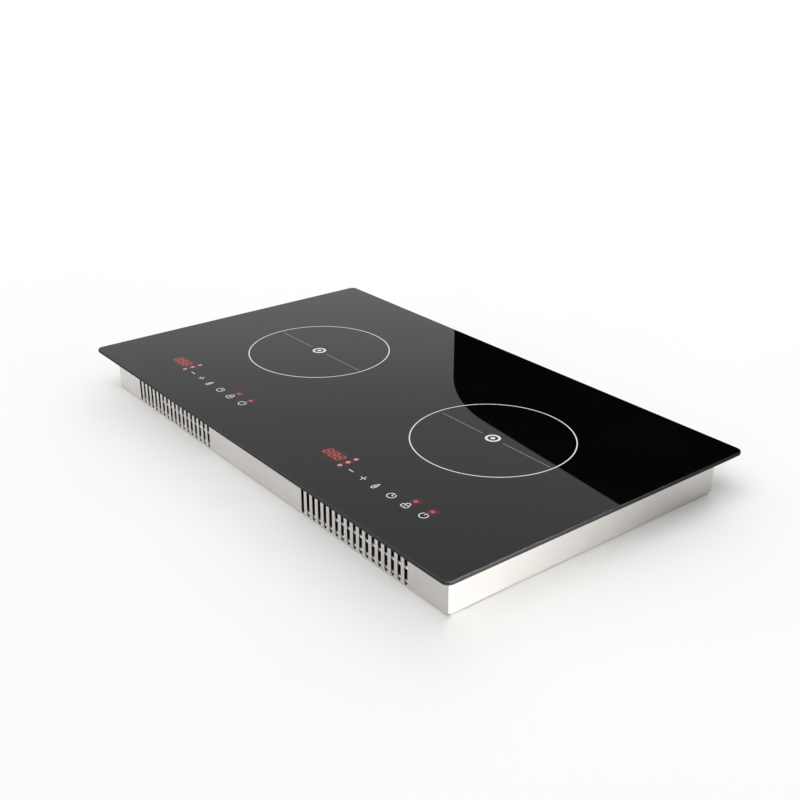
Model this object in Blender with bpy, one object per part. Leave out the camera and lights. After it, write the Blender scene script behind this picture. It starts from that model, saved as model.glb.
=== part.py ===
"""Drop-in induction cooktop with two cooking zones.

A black glass plate lies on a folded steel tray that hangs in the worktop. Each zone has a coil under
the glass, a power board below it and a fan that draws air in through the tray's floor and drives it
out of the slots in the front wall. Metres, +Z up, +X right, the control edge at -Y. The origin is
the middle of the tray's underside.
"""
import math

import bmesh
import bpy
from mathutils import Matrix, Vector

MM = 0.001

# Overall
GLASS_WIDTH = 730 * MM
GLASS_DEPTH = 430 * MM
HEIGHT = 56 * MM
GLASS_THICKNESS = 4 * MM
GLASS_CORNER_RADIUS = 8 * MM
GLASS_BEVEL = 0.7 * MM

# Tray: how far the glass overhangs it, and its sheet
RIM_SIDE = 21.5 * MM
RIM_FRONT = 21 * MM
SHEET = 0.8 * MM
BEND_RADIUS = 2.0 * MM
RELIEF_RADIUS = 2.2 * MM
GAP = 0.3 * MM

# Vent fields in the front wall
VENT_COUNT = 18
VENT_PITCH = 10.5 * MM
VENT_FROM_ZONE = 19.3 * MM
VENT_SLOT_WIDTH = 5.2 * MM
VENT_SLOT_LOW = 2.4 * MM
VENT_TO_FRAME = 1.9 * MM
VENT_ARC_STEPS = 3
GUARD_BAR_HEIGHT = 3 * MM
GUARD_LOW_BAR_Z = 5 * MM
GUARD_HIGH_BAR_Z = 20 * MM
GUARD_LOW_FIRST_SLOT = 1
GUARD_HIGH_FIRST_SLOT = 6
GUARD_TAB_WIDTH = 10 * MM

# Frame, bonding bead and seal under the glass
BEAD_THICKNESS = 1.5 * MM
BEAD_WIDTH = 8 * MM
BEAD_INSET = 2 * MM
BEAD_CORNER_RADIUS = 8 * MM
FLANGE_WIDTH = 14 * MM
FLANGE_DROP = 12 * MM
SEAL_THICKNESS = 2.5 * MM
SEAL_WIDTH = 10 * MM
SEAL_INSET = 3 * MM
FRAME_SCREW_FROM_SIDE = 43.5 * MM
SCREW_SHANK_RADIUS = 1.8 * MM
SCREW_HEAD_RADIUS = 3.6 * MM
SCREW_HEAD_HEIGHT = 2.2 * MM
SCREW_LENGTH = 7 * MM

# Cooking zones
ZONE_FROM_SIDE = 171.5 * MM
ZONE_Y = 17.5 * MM
COIL_INNER_RADIUS = 25 * MM
COIL_OUTER_RADIUS = 84 * MM
COIL_THICKNESS = 4 * MM
COIL_MARGIN = 2 * MM
MICA_THICKNESS = 1 * MM
FORMER_THICKNESS = 3 * MM
FORMER_HUB_WALL = 3 * MM
FERRITE_COUNT = 4
FERRITE_WIDTH = 10 * MM
FERRITE_THICKNESS = 4 * MM
FERRITE_INSET = 3 * MM
SENSOR_RADIUS = 6 * MM
SENSOR_CLEARANCE = 3 * MM
SENSOR_COLLAR_WIDTH = 4 * MM
SENSOR_COLLAR_HEIGHT = 2 * MM
COIL_PLATE_MARGIN = 16 * MM
COIL_PLATE_THICKNESS = 1 * MM
LEG_WIDTH = 16 * MM
LEG_OFFSET_Y = 70 * MM
FOOT_LENGTH = 12 * MM
LEAD_RADIUS = 2 * MM
LEAD_START_X = -24 * MM
LEAD_HOLE_X = 18 * MM
LEAD_HOLE_FROM_EDGE = 8 * MM
LEAD_HOLE_CLEARANCE = 3 * MM

# Power electronics, laid out from the zone's centre
BOARD_THICKNESS = 1.6 * MM
BOARD_LEVEL = 7.8 * MM
POWER_BOARD_TO_LEG = 5 * MM
POWER_BOARD_DEPTH = 130 * MM
POWER_BOARD_Y = -29.5 * MM
CARRIER_THICKNESS = 2 * MM
CARRIER_MARGIN = 2 * MM
POST_RADIUS = 4 * MM
POST_INSET = 8 * MM
SINK_WIDTH = 60 * MM
SINK_DEPTH = 78 * MM
SINK_HEADROOM = 3.5 * MM
SINK_BASE = 4 * MM
SINK_FIN = 1.6 * MM
SINK_FIN_COUNT = 9
SINK_X = -32 * MM
SINK_Y = -6 * MM
TRANSISTOR_WIDTH = 16 * MM
TRANSISTOR_LEG_LENGTH = 4 * MM
TRANSISTOR_Y = -18 * MM
RECTIFIER_WIDTH = 24 * MM
RECTIFIER_LEG_LENGTH = 7 * MM
RECTIFIER_Y = 12 * MM
PACKAGE_THICKNESS = 4.6 * MM
PACKAGE_LEG = 1.2 * MM
PACKAGE_LEG_SPREAD = 0.7
CAPACITOR_WIDTH = 20 * MM
CAPACITOR_DEPTH = 42 * MM
CAPACITOR_HEADROOM = 5.5 * MM
CAPACITOR_X = 48 * MM
CAPACITOR_Y = -20 * MM
TRANSFORMER_SIZE = (22 * MM, 20 * MM, 18 * MM)
TRANSFORMER_PLACE = (72 * MM, 0)
RELAY_SIZE = (12 * MM, 26 * MM, 16 * MM)
RELAY_PLACE = (-80 * MM, -30 * MM)
SOCKET_SIZE = (22 * MM, 8 * MM, 8 * MM)
SOCKET_PLACE = (0, -78 * MM)

# Fans
FAN_SIZE = 80 * MM
FAN_HEIGHT = 20 * MM
FAN_CORNER_RADIUS = 4 * MM
FAN_TO_CARRIER = 6 * MM
FAN_WALL = 2 * MM
FAN_HUB_RADIUS = 15 * MM
FAN_TIP_CLEARANCE = 1.5 * MM
FAN_BLADES = 7
FAN_BLADE_THICKNESS = 1.3 * MM
FAN_BLADE_CHORD = 15 * MM
FAN_BLADE_PITCH = math.radians(40)
FAN_STRUT_WIDTH = 4 * MM
FAN_STRUT_THICKNESS = 3 * MM
FAN_STRUT_INSET = 0.1 * MM
FAN_SHAFT_RADIUS = 1.5 * MM
FAN_SHAFT_REACH = 3 * MM
GRILLE_SLOT_WIDTH = 4 * MM
GRILLE_PITCH = 8 * MM

# Touch controls: across from the zone's centre, and back from the tray's front face
KEY_X = (-34.3 * MM, -12.5 * MM, 9.0 * MM, 35.2 * MM, 60.2 * MM, 86.8 * MM)
KEY_FROM_FRONT = 39.5 * MM
KEY_PAD_RADIUS = 4 * MM
DISPLAY_X = -76.8 * MM
DISPLAY_FROM_FRONT = 47.5 * MM
DISPLAY_SIZE = (32 * MM, 15 * MM, 6.8 * MM)
TOUCH_BOARD_DEPTH = 42 * MM
TOUCH_BOARD_FROM_FRONT = 45.5 * MM
TOUCH_MARGIN = 8 * MM
TOUCH_CARRIER_THICKNESS = 1.7 * MM
TOUCH_CARRIER_FROM_SKIRT = 2 * MM
TOUCH_CARRIER_LIP = 2 * MM
TOUCH_CARRIER_SETBACK = 4 * MM
RIBBON_WIDTH = 16 * MM
RIBBON_THICKNESS = 0.8 * MM
RIBBON_BEND = 10 * MM
RIBBON_LEVEL = 14 * MM

# Mains side
GLAND_THREAD_RADIUS = 8 * MM
GLAND_FLANGE_RADIUS = 11 * MM
GLAND_BORE_RADIUS = 4.5 * MM
GLAND_LENGTH = 14 * MM
GLAND_INNER_LENGTH = 9 * MM
NUT_THICKNESS = 5 * MM
NUT_RADIUS = 12 * MM
TERMINAL_SIZE = (60 * MM, 26 * MM, 20 * MM)
TERMINAL_FROM_WALL = 41.2 * MM
TERMINAL_POCKET = (0.6, 0.7, 0.4)
TERMINAL_POCKET_LOW = 0.2
TERMINAL_WELL_RADIUS = 0.25
TERMINAL_WELL_LOW = 0.8
TERMINAL_WAYS = 5
FILTER_BOARD_DEPTH = 84 * MM
FILTER_BOARD_FROM_TERMINAL = 77 * MM
FILTER_BOARD_TO_FOOT = 10 * MM
FILTER_POST_INSET = 6 * MM
CHOKE_RADIUS = 14 * MM
CHOKE_HOLE_RADIUS = 6 * MM
CHOKE_HEIGHT = 14 * MM
CHOKE_X = -24 * MM
FILTER_CAPACITOR_SIZE = (26 * MM, 14 * MM, 18 * MM)
FILTER_CAPACITOR_X = 22 * MM

# Sides of the round pieces
BIG_CIRCLE = 40
MEDIUM_CIRCLE = 24
SMALL_CIRCLE = 12

# Levels that follow from the values above, from the glass down and from the floor up
GLASS_UNDERSIDE = HEIGHT - GLASS_THICKNESS
TRAY_TOP = GLASS_UNDERSIDE - GAP
BEAD_LOW = TRAY_TOP - BEAD_THICKNESS
FLANGE_TOP = BEAD_LOW - GAP
SKIRT_LOW = FLANGE_TOP - FLANGE_DROP
MICA_LOW = TRAY_TOP - MICA_THICKNESS
COIL_TOP = MICA_LOW - GAP
COIL_LOW = COIL_TOP - COIL_THICKNESS
FORMER_TOP = COIL_LOW - GAP
FORMER_LOW = FORMER_TOP - FORMER_THICKNESS
FERRITE_TOP = FORMER_LOW - GAP
FERRITE_LOW = FERRITE_TOP - FERRITE_THICKNESS
COIL_PLATE_TOP = FERRITE_LOW - GAP
COIL_PLATE_LOW = COIL_PLATE_TOP - COIL_PLATE_THICKNESS
FLOOR = SHEET + GAP
BOARD_LOW = BOARD_LEVEL + GAP
PART_LOW = BOARD_LOW + BOARD_THICKNESS + GAP
SINK_HEIGHT = COIL_PLATE_LOW - SINK_HEADROOM - PART_LOW
CAPACITOR_SIZE = (CAPACITOR_WIDTH, CAPACITOR_DEPTH, COIL_PLATE_LOW - CAPACITOR_HEADROOM - PART_LOW)
DISPLAY_LOW = TRAY_TOP - DISPLAY_SIZE[2]
TOUCH_BOARD_LOW = DISPLAY_LOW - GAP - BOARD_THICKNESS
VENT_SLOT_HIGH = SKIRT_LOW - VENT_TO_FRAME
GLAND_LEVEL = (SHEET + SKIRT_LOW) / 2

# Widths and places that follow from them
TRAY_WIDTH = GLASS_WIDTH - 2 * RIM_SIDE
TRAY_DEPTH = GLASS_DEPTH - 2 * RIM_FRONT
ZONE_X = TRAY_WIDTH / 2 - ZONE_FROM_SIDE
VENT_CENTRE_X = ZONE_X + VENT_FROM_ZONE
FRAME_SCREW_X = (FRAME_SCREW_FROM_SIDE - TRAY_WIDTH / 2, 0, TRAY_WIDTH / 2 - FRAME_SCREW_FROM_SIDE)
COIL_RIM_RADIUS = COIL_OUTER_RADIUS + COIL_MARGIN
COIL_PLATE_SIZE = 2 * (COIL_OUTER_RADIUS + COIL_PLATE_MARGIN)
SENSOR_HOLE_RADIUS = SENSOR_RADIUS + SENSOR_CLEARANCE
POWER_BOARD_SIZE = (COIL_PLATE_SIZE - 2 * POWER_BOARD_TO_LEG, POWER_BOARD_DEPTH, BOARD_THICKNESS)
FAN_BORE_RADIUS = FAN_SIZE / 2 - FAN_WALL
FAN_Y = POWER_BOARD_Y + POWER_BOARD_DEPTH / 2 + CARRIER_MARGIN + FAN_TO_CARRIER + FAN_SIZE / 2
TERMINAL_Y = TRAY_DEPTH / 2 - SHEET - TERMINAL_FROM_WALL
FILTER_BOARD_Y = TERMINAL_Y - FILTER_BOARD_FROM_TERMINAL
FILTER_BOARD_WIDTH = 2 * (ZONE_X - COIL_PLATE_SIZE / 2 - FOOT_LENGTH - FILTER_BOARD_TO_FOOT)
FRONT_FROM_ZONE = -TRAY_DEPTH / 2 - ZONE_Y
SIDES = {"left": -1, "right": 1}


# Helpers

def clear_scene():
    for thing in list(bpy.data.objects):
        bpy.data.objects.remove(thing, do_unlink=True)


def material(name, colour, roughness, metallic=0.0):
    """A Principled material, made once and shared by every object that names it."""
    found = bpy.data.materials.get(name)
    if found:
        return found
    made = bpy.data.materials.new(name)
    made.use_nodes = True
    shader = made.node_tree.nodes["Principled BSDF"]
    shader.inputs["Base Color"].default_value = (*colour, 1)
    shader.inputs["Roughness"].default_value = roughness
    shader.inputs["Metallic"].default_value = metallic
    return made


def add_object(name, mesh, parent=None, look=None, location=(0, 0, 0)):
    thing = bpy.data.objects.new(name, mesh)
    bpy.context.collection.objects.link(thing)
    thing.location = location
    thing.parent = parent
    if look:
        mesh.materials.append(look)
    return thing


def mesh_from(name, work):
    bmesh.ops.recalc_face_normals(work, faces=work.faces)
    mesh = bpy.data.meshes.new(name)
    work.to_mesh(mesh)
    work.free()
    mesh.shade_smooth()
    mesh.set_sharp_from_angle(angle=math.radians(35))
    return mesh


def add_box(work, low, high):
    """Add a box between two corners to a bmesh and return its vertices."""
    size = Vector(high) - Vector(low)
    middle = (Vector(high) + Vector(low)) / 2
    place = Matrix.Translation(middle) @ Matrix.Diagonal((*size, 1))
    return bmesh.ops.create_cube(work, size=1, matrix=place)["verts"]


def add_cylinder(work, centre, radius, low, high, sides=SMALL_CIRCLE, axis="Z"):
    """Add a closed cylinder whose axis runs along Z, or along Y through centre, to a bmesh."""
    turn = Matrix.Identity(4) if axis == "Z" else Matrix.Rotation(math.radians(-90), 4, "X")
    middle = (low + high) / 2
    along = Vector((0, 0, middle)) if axis == "Z" else Vector((0, middle, 0))
    place = Matrix.Translation(Vector(centre) + along) @ turn
    return bmesh.ops.create_cone(work, cap_ends=True, segments=sides, radius1=radius, radius2=radius,
                                 depth=high - low, matrix=place)["verts"]


def boxes(name, corners, **where):
    """One object made of separate boxes, each given by its low and its high corner."""
    work = bmesh.new()
    for low, high in corners:
        add_box(work, low, high)
    return add_object(name, mesh_from(name, work), **where)


def centred_box(middle_x, middle_y, size, low):
    """The corners of a box of a given size over a middle point."""
    width, depth, height = size
    return ((middle_x - width / 2, middle_y - depth / 2, low),
            (middle_x + width / 2, middle_y + depth / 2, low + height))


def cylinders(name, places, sides=SMALL_CIRCLE, axis="Z", **where):
    """One object made of separate cylinders, each given as centre, radius, low and high."""
    work = bmesh.new()
    for centre, radius, low, high in places:
        add_cylinder(work, centre, radius, low, high, sides, axis)
    return add_object(name, mesh_from(name, work), **where)


def ring(name, inner, outer, low, high, sides=BIG_CIRCLE, **where):
    """A flat ring round Z: its rectangular section, spun a full turn."""
    work = bmesh.new()
    corners = ((inner, low), (outer, low), (outer, high), (inner, high))
    section = [work.verts.new((radius, 0, z)) for radius, z in corners]
    edges = [work.edges.new((section[i], section[(i + 1) % 4])) for i in range(4)]
    bmesh.ops.spin(work, geom=section + edges, axis=(0, 0, 1), cent=(0, 0, 0), steps=sides,
                   angle=math.tau, use_merge=True)
    bmesh.ops.remove_doubles(work, verts=work.verts, dist=0.00001)
    return add_object(name, mesh_from(name, work), **where)


def extrude(work, face, along):
    """Turn one face of a bmesh into a closed solid by extruding it."""
    made = bmesh.ops.extrude_face_region(work, geom=[face])["geom"]
    corners = [part for part in made if isinstance(part, bmesh.types.BMVert)]
    bmesh.ops.translate(work, vec=along, verts=corners)


def prism(name, outline, low, high, **where):
    """A closed upright prism over an outline of (x, y) points."""
    work = bmesh.new()
    base = work.faces.new([work.verts.new((x, y, low)) for x, y in outline])
    extrude(work, base, (0, 0, high - low))
    return add_object(name, mesh_from(name, work), **where)


def rounded_outline(width, depth, radius, steps=5):
    """The points of a rectangle with round corners, anticlockwise."""
    points = []
    for quarter in range(4):
        sx, sy = ((1, 1), (-1, 1), (-1, -1), (1, -1))[quarter]
        for step in range(steps + 1):
            angle = math.radians(90) * (quarter + step / steps)
            points.append((sx * (width / 2 - radius) + radius * math.cos(angle),
                           sy * (depth / 2 - radius) + radius * math.sin(angle)))
    return points


def bevel_edges(thing, width, steps, choose):
    """Bevel the mesh edges for which choose(start, end) is true."""
    work = bmesh.new()
    work.from_mesh(thing.data)
    edges = [e for e in work.edges if choose(e.verts[0].co, e.verts[1].co)]
    bmesh.ops.bevel(work, geom=edges, offset=width, segments=steps, profile=0.5, affect="EDGES")
    work.to_mesh(thing.data)
    work.free()


def boolean(thing, other, operation):
    """Cut other out of thing, or join it to thing, with a live Boolean; other becomes a guide."""
    other.hide_render = True
    other.display_type = "WIRE"
    step = thing.modifiers.new(other.name, "BOOLEAN")
    step.operation = operation
    step.solver = "EXACT"
    step.object = other


def cut(thing, other):
    boolean(thing, other, "DIFFERENCE")


def join(thing, other):
    boolean(thing, other, "UNION")


def tube(name, points, radius, **where):
    """A round wire: a bevelled curve with filled ends through hand-chosen points."""
    curve = bpy.data.curves.new(name, "CURVE")
    curve.dimensions = "3D"
    curve.bevel_depth = radius
    curve.bevel_resolution = 2
    curve.use_fill_caps = True
    spline = curve.splines.new("POLY")
    spline.points.add(len(points) - 1)
    for point, place in zip(spline.points, points):
        point.co = (*place, 1)
    return add_object(name, curve, **where)


def smooth_path(points, steps):
    """Points on a smooth curve through the given ones (Catmull-Rom)."""
    ends = [points[0], *points, points[-1]]
    path = []
    for i in range(len(points) - 1):
        a, b, c, d = (Vector(p) for p in ends[i:i + 4])
        for step in range(steps):
            t = step / steps
            path.append(0.5 * (2 * b + (c - a) * t + (2 * a - 5 * b + 4 * c - d) * t ** 2
                               + (3 * b - a - 3 * c + d) * t ** 3))
    return [*path, Vector(points[-1])]


# Looks

def looks():
    return {
        "glass": material("black_ceramic_glass", (0.012, 0.012, 0.013), 0.06),
        "steel": material("galvanised_steel", (0.62, 0.61, 0.60), 0.38, 0.9),
        "aluminium": material("aluminium", (0.72, 0.73, 0.74), 0.35, 1.0),
        "copper": material("enamelled_copper", (0.62, 0.28, 0.12), 0.4, 0.8),
        "ferrite": material("ferrite", (0.05, 0.05, 0.055), 0.6),
        "mica": material("mica", (0.75, 0.70, 0.60), 0.5),
        "black_plastic": material("black_plastic", (0.02, 0.02, 0.02), 0.5),
        "white_plastic": material("white_plastic", (0.80, 0.80, 0.78), 0.45),
        "board": material("circuit_board", (0.05, 0.22, 0.10), 0.5),
        "rubber": material("foam_rubber", (0.03, 0.03, 0.03), 0.85),
        "silicone": material("silicone", (0.35, 0.35, 0.36), 0.6),
        "display": material("display_filter", (0.10, 0.01, 0.01), 0.3),
        "capacitor": material("capacitor_case", (0.65, 0.62, 0.15), 0.4),
        "ribbon": material("ribbon_cable", (0.45, 0.45, 0.47), 0.5),
    }


# Glass, frame and seal

def make_glass(look):
    outline = rounded_outline(GLASS_WIDTH, GLASS_DEPTH, GLASS_CORNER_RADIUS)
    glass = prism("glass_plate", outline, GLASS_UNDERSIDE, HEIGHT, look=look["glass"])
    bevel_edges(glass, GLASS_BEVEL, 1, lambda a, b: a.z > HEIGHT - GAP and b.z > HEIGHT - GAP)


def make_seal(look):
    width = GLASS_WIDTH - 2 * SEAL_INSET
    depth = GLASS_DEPTH - 2 * SEAL_INSET
    low = TRAY_TOP - SEAL_THICKNESS
    seal = prism("foam_seal", rounded_outline(width, depth, GLASS_CORNER_RADIUS), low, TRAY_TOP,
                 look=look["rubber"])
    inside = rounded_outline(width - 2 * SEAL_WIDTH, depth - 2 * SEAL_WIDTH, GLASS_CORNER_RADIUS)
    cut(seal, prism("seal_opening", inside, low - MM, TRAY_TOP + MM))


def frame_screw_places(low, high, radius):
    level = FLANGE_TOP - FLANGE_DROP / 2
    return [((x, 0, level), radius, low, high) for x in FRAME_SCREW_X]


def make_frame(look):
    """An L-section ring inside the tray's walls: a flange under the glass and a skirt for the screws."""
    half_x = TRAY_WIDTH / 2 - SHEET - GAP
    half_y = TRAY_DEPTH / 2 - SHEET - GAP
    low = SKIRT_LOW
    frame = boxes("glass_frame", [((-half_x, -half_y, low), (half_x, half_y, FLANGE_TOP))],
                  look=look["steel"])
    skirt_x, skirt_y = half_x - SHEET, half_y - SHEET
    under = boxes("frame_hollow", [((-skirt_x, -skirt_y, low - MM), (skirt_x, skirt_y, FLANGE_TOP - SHEET))])
    cut(frame, under)
    open_x, open_y = half_x - FLANGE_WIDTH, half_y - FLANGE_WIDTH
    opening = boxes("frame_opening", [((-open_x, -open_y, low), (open_x, open_y, FLANGE_TOP + MM))])
    cut(frame, opening)
    holes = frame_screw_places(half_y - FLANGE_WIDTH / 2, half_y + MM, SCREW_SHANK_RADIUS + GAP)
    cut(frame, cylinders("frame_screw_holes", holes, axis="Y"))


def make_bead(look):
    half_x = TRAY_WIDTH / 2 - SHEET - BEAD_INSET
    half_y = TRAY_DEPTH / 2 - SHEET - BEAD_INSET
    outline = rounded_outline(2 * half_x, 2 * half_y, BEAD_CORNER_RADIUS)
    bead = prism("silicone_bead", outline, BEAD_LOW, TRAY_TOP, look=look["silicone"])
    inside = rounded_outline(2 * (half_x - BEAD_WIDTH), 2 * (half_y - BEAD_WIDTH), BEAD_CORNER_RADIUS / 2)
    cut(bead, prism("bead_opening", inside, BEAD_LOW - MM, TRAY_TOP + MM))


def make_frame_screws(look):
    wall = TRAY_DEPTH / 2
    places = frame_screw_places(wall + GAP - SCREW_LENGTH, wall + GAP, SCREW_SHANK_RADIUS)
    for number, (centre, radius, low, high) in enumerate(places, start=1):
        name = f"frame_screw_{number}"
        screw = cylinders(name, [((0, 0, 0), radius, low - high, SCREW_HEAD_HEIGHT / 2)], axis="Y",
                          look=look["steel"], location=(centre[0], high, centre[2]))
        head = cylinders(name + "_head", [((0, 0, 0), SCREW_HEAD_RADIUS, 0, SCREW_HEAD_HEIGHT)], axis="Y",
                         location=screw.location)
        join(screw, head)


# Tray

def vent_slot_outline(middle):
    """One upright slot of the front wall as (x, z) points: a half circle at each end."""
    radius = VENT_SLOT_WIDTH / 2
    points = []
    for end, centre in ((0, VENT_SLOT_HIGH - radius), (1, VENT_SLOT_LOW + radius)):
        for step in range(VENT_ARC_STEPS + 1):
            angle = math.pi * (end + step / VENT_ARC_STEPS)
            points.append((middle + radius * math.cos(angle), centre + radius * math.sin(angle)))
    return points


def vent_positions(side):
    first = side * VENT_CENTRE_X - VENT_PITCH * (VENT_COUNT - 1) / 2
    return [first + VENT_PITCH * i for i in range(VENT_COUNT)]


def vent_cutter():
    work = bmesh.new()
    wall = -TRAY_DEPTH / 2
    for side in SIDES.values():
        for middle in vent_positions(side):
            face = work.faces.new([work.verts.new((x, wall - MM, z)) for x, z in vent_slot_outline(middle)])
            extrude(work, face, (0, SHEET + 2 * MM, 0))
    return add_object("vent_slots", mesh_from("vent_slots", work))


def fan_centre(side):
    return side * ZONE_X, ZONE_Y + FAN_Y


def grille_cutter():
    """Parallel slots under each fan, each as long as the fan's bore is wide there."""
    corners = []
    reach = FAN_BORE_RADIUS - GRILLE_SLOT_WIDTH
    rows = int(reach // GRILLE_PITCH)
    for side in SIDES.values():
        x, y = fan_centre(side)
        for row in range(-rows, rows + 1):
            middle = y + row * GRILLE_PITCH
            half = math.sqrt(reach ** 2 - (row * GRILLE_PITCH) ** 2)
            corners.append(((x - half, middle - GRILLE_SLOT_WIDTH / 2, -MM),
                            (x + half, middle + GRILLE_SLOT_WIDTH / 2, SHEET + MM)))
    return boxes("intake_slots", corners)


def filter_posts():
    half_x = FILTER_BOARD_WIDTH / 2 - FILTER_POST_INSET
    half_y = FILTER_BOARD_DEPTH / 2 - FILTER_POST_INSET
    return [((x, FILTER_BOARD_Y + y, 0), POST_RADIUS, SHEET / 2, BOARD_LEVEL)
            for x in (-half_x, half_x) for y in (-half_y, half_y)]


def make_tray(look):
    """Folded from one sheet: a floor with round bends up to four walls, with relief holes at the corners."""
    half_x, half_y = TRAY_WIDTH / 2, TRAY_DEPTH / 2
    tray = boxes("base_tray", [((-half_x, -half_y, 0), (half_x, half_y, TRAY_TOP))], look=look["steel"])
    bevel_edges(tray, BEND_RADIUS, 3, lambda a, b: a.z < MM and b.z < MM)
    hollow = boxes("tray_hollow", [((SHEET - half_x, SHEET - half_y, SHEET),
                                    (half_x - SHEET, half_y - SHEET, TRAY_TOP + MM))])
    bevel_edges(hollow, BEND_RADIUS - SHEET, 3, lambda a, b: a.z < SHEET + MM / 2 and b.z < SHEET + MM / 2)
    cut(tray, hollow)
    join(tray, cylinders("filter_board_posts", filter_posts()))
    cut(tray, vent_cutter())
    cut(tray, grille_cutter())
    corner_x, corner_y = half_x - RELIEF_RADIUS / 2, half_y - RELIEF_RADIUS / 2
    reliefs = [((x, y, 0), RELIEF_RADIUS, -MM, BEND_RADIUS + RELIEF_RADIUS / 2)
               for x in (-corner_x, corner_x) for y in (-corner_y, corner_y)]
    cut(tray, cylinders("corner_reliefs", reliefs))
    holes = frame_screw_places(half_y - SHEET - MM, half_y + MM, SCREW_SHANK_RADIUS + GAP)
    holes.append(((0, 0, GLAND_LEVEL), GLAND_THREAD_RADIUS + GAP, half_y - SHEET - MM, half_y + MM))
    cut(tray, cylinders("rear_wall_holes", holes, axis="Y"))


def make_vent_guard(label, side, look):
    """Two strips behind the slots, joined by a tab past the last slot: one low, one high and shorter."""
    slots = vent_positions(side)
    between = VENT_PITCH / 2
    outside = -TRAY_DEPTH / 2 + SHEET + GAP
    tab = slots[-1] + between
    end = tab + GUARD_TAB_WIDTH

    def strip(start, stop, low, high):
        return (start, outside, low), (stop, outside + SHEET, high)

    guard = boxes(f"vent_guard_{label}", [strip(tab, end, VENT_SLOT_LOW, VENT_SLOT_HIGH)],
                  look=look["steel"])
    low_bar = (GUARD_LOW_FIRST_SLOT, GUARD_LOW_BAR_Z)
    high_bar = (GUARD_HIGH_FIRST_SLOT, GUARD_HIGH_BAR_Z)
    bars = [strip(slots[first] - between, tab + MM, low, low + GUARD_BAR_HEIGHT)
            for first, low in (low_bar, high_bar)]
    join(guard, boxes(f"vent_guard_{label}_bars", bars))


# Mains side

def make_gland(look):
    wall = TRAY_DEPTH / 2
    place = (0, wall, GLAND_LEVEL)
    thread = [((0, 0, 0), GLAND_THREAD_RADIUS, -SHEET - GLAND_INNER_LENGTH, GLAND_LENGTH)]
    gland = cylinders("cable_gland", thread, axis="Y", sides=MEDIUM_CIRCLE, look=look["black_plastic"],
                      location=place)
    flange = cylinders("gland_flange", [((0, 0, 0), GLAND_FLANGE_RADIUS, GAP, GLAND_LENGTH / 2)],
                       axis="Y", sides=6, location=place)
    join(gland, flange)
    bore = cylinders("gland_bore", [((0, 0, 0), GLAND_BORE_RADIUS, -GLAND_LENGTH, GLAND_LENGTH + MM)],
                     axis="Y", sides=MEDIUM_CIRCLE, location=place)
    cut(gland, bore)
    inside = -SHEET - GAP
    nut = cylinders("gland_nut", [((0, 0, 0), NUT_RADIUS, inside - NUT_THICKNESS, inside)], axis="Y", sides=6,
                    look=look["black_plastic"], location=place)
    cut(nut, cylinders("nut_bore", [((0, 0, 0), GLAND_THREAD_RADIUS + GAP, -GLAND_LENGTH, MM)], axis="Y",
                       sides=MEDIUM_CIRCLE, location=place))


def make_terminal_block(look):
    width, depth, height = TERMINAL_SIZE
    block = boxes("terminal_block", [centred_box(0, TERMINAL_Y, TERMINAL_SIZE, FLOOR)],
                  look=look["white_plastic"])
    pitch = width / TERMINAL_WAYS
    pockets = []
    wells = []
    across, along, up = TERMINAL_POCKET
    for way in range(TERMINAL_WAYS):
        x = pitch * (way - (TERMINAL_WAYS - 1) / 2)
        size = (pitch * across, depth * along, height * up)
        pockets.append(centred_box(x, TERMINAL_Y + depth / 2, size, FLOOR + height * TERMINAL_POCKET_LOW))
        wells.append(((x, TERMINAL_Y, 0), pitch * TERMINAL_WELL_RADIUS,
                      FLOOR + height * TERMINAL_WELL_LOW, FLOOR + height + MM))
    cut(block, boxes("terminal_pockets", pockets))
    cut(block, cylinders("terminal_screw_wells", wells))


def make_filter(look):
    size = (FILTER_BOARD_WIDTH, FILTER_BOARD_DEPTH, BOARD_THICKNESS)
    boxes("filter_board", [centred_box(0, FILTER_BOARD_Y, size, BOARD_LOW)], look=look["board"])
    ring("filter_choke", CHOKE_HOLE_RADIUS, CHOKE_RADIUS, PART_LOW, PART_LOW + CHOKE_HEIGHT,
         sides=MEDIUM_CIRCLE, look=look["copper"], location=(CHOKE_X, FILTER_BOARD_Y, 0))
    case = centred_box(FILTER_CAPACITOR_X, FILTER_BOARD_Y, FILTER_CAPACITOR_SIZE, PART_LOW)
    boxes("filter_capacitor", [case], look=look["capacitor"])


# One cooking zone, from the glass down. Each piece is laid out round the zone's centre.

def lead_hole_place():
    return LEAD_HOLE_X, LEAD_HOLE_FROM_EDGE - COIL_PLATE_SIZE / 2


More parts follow.
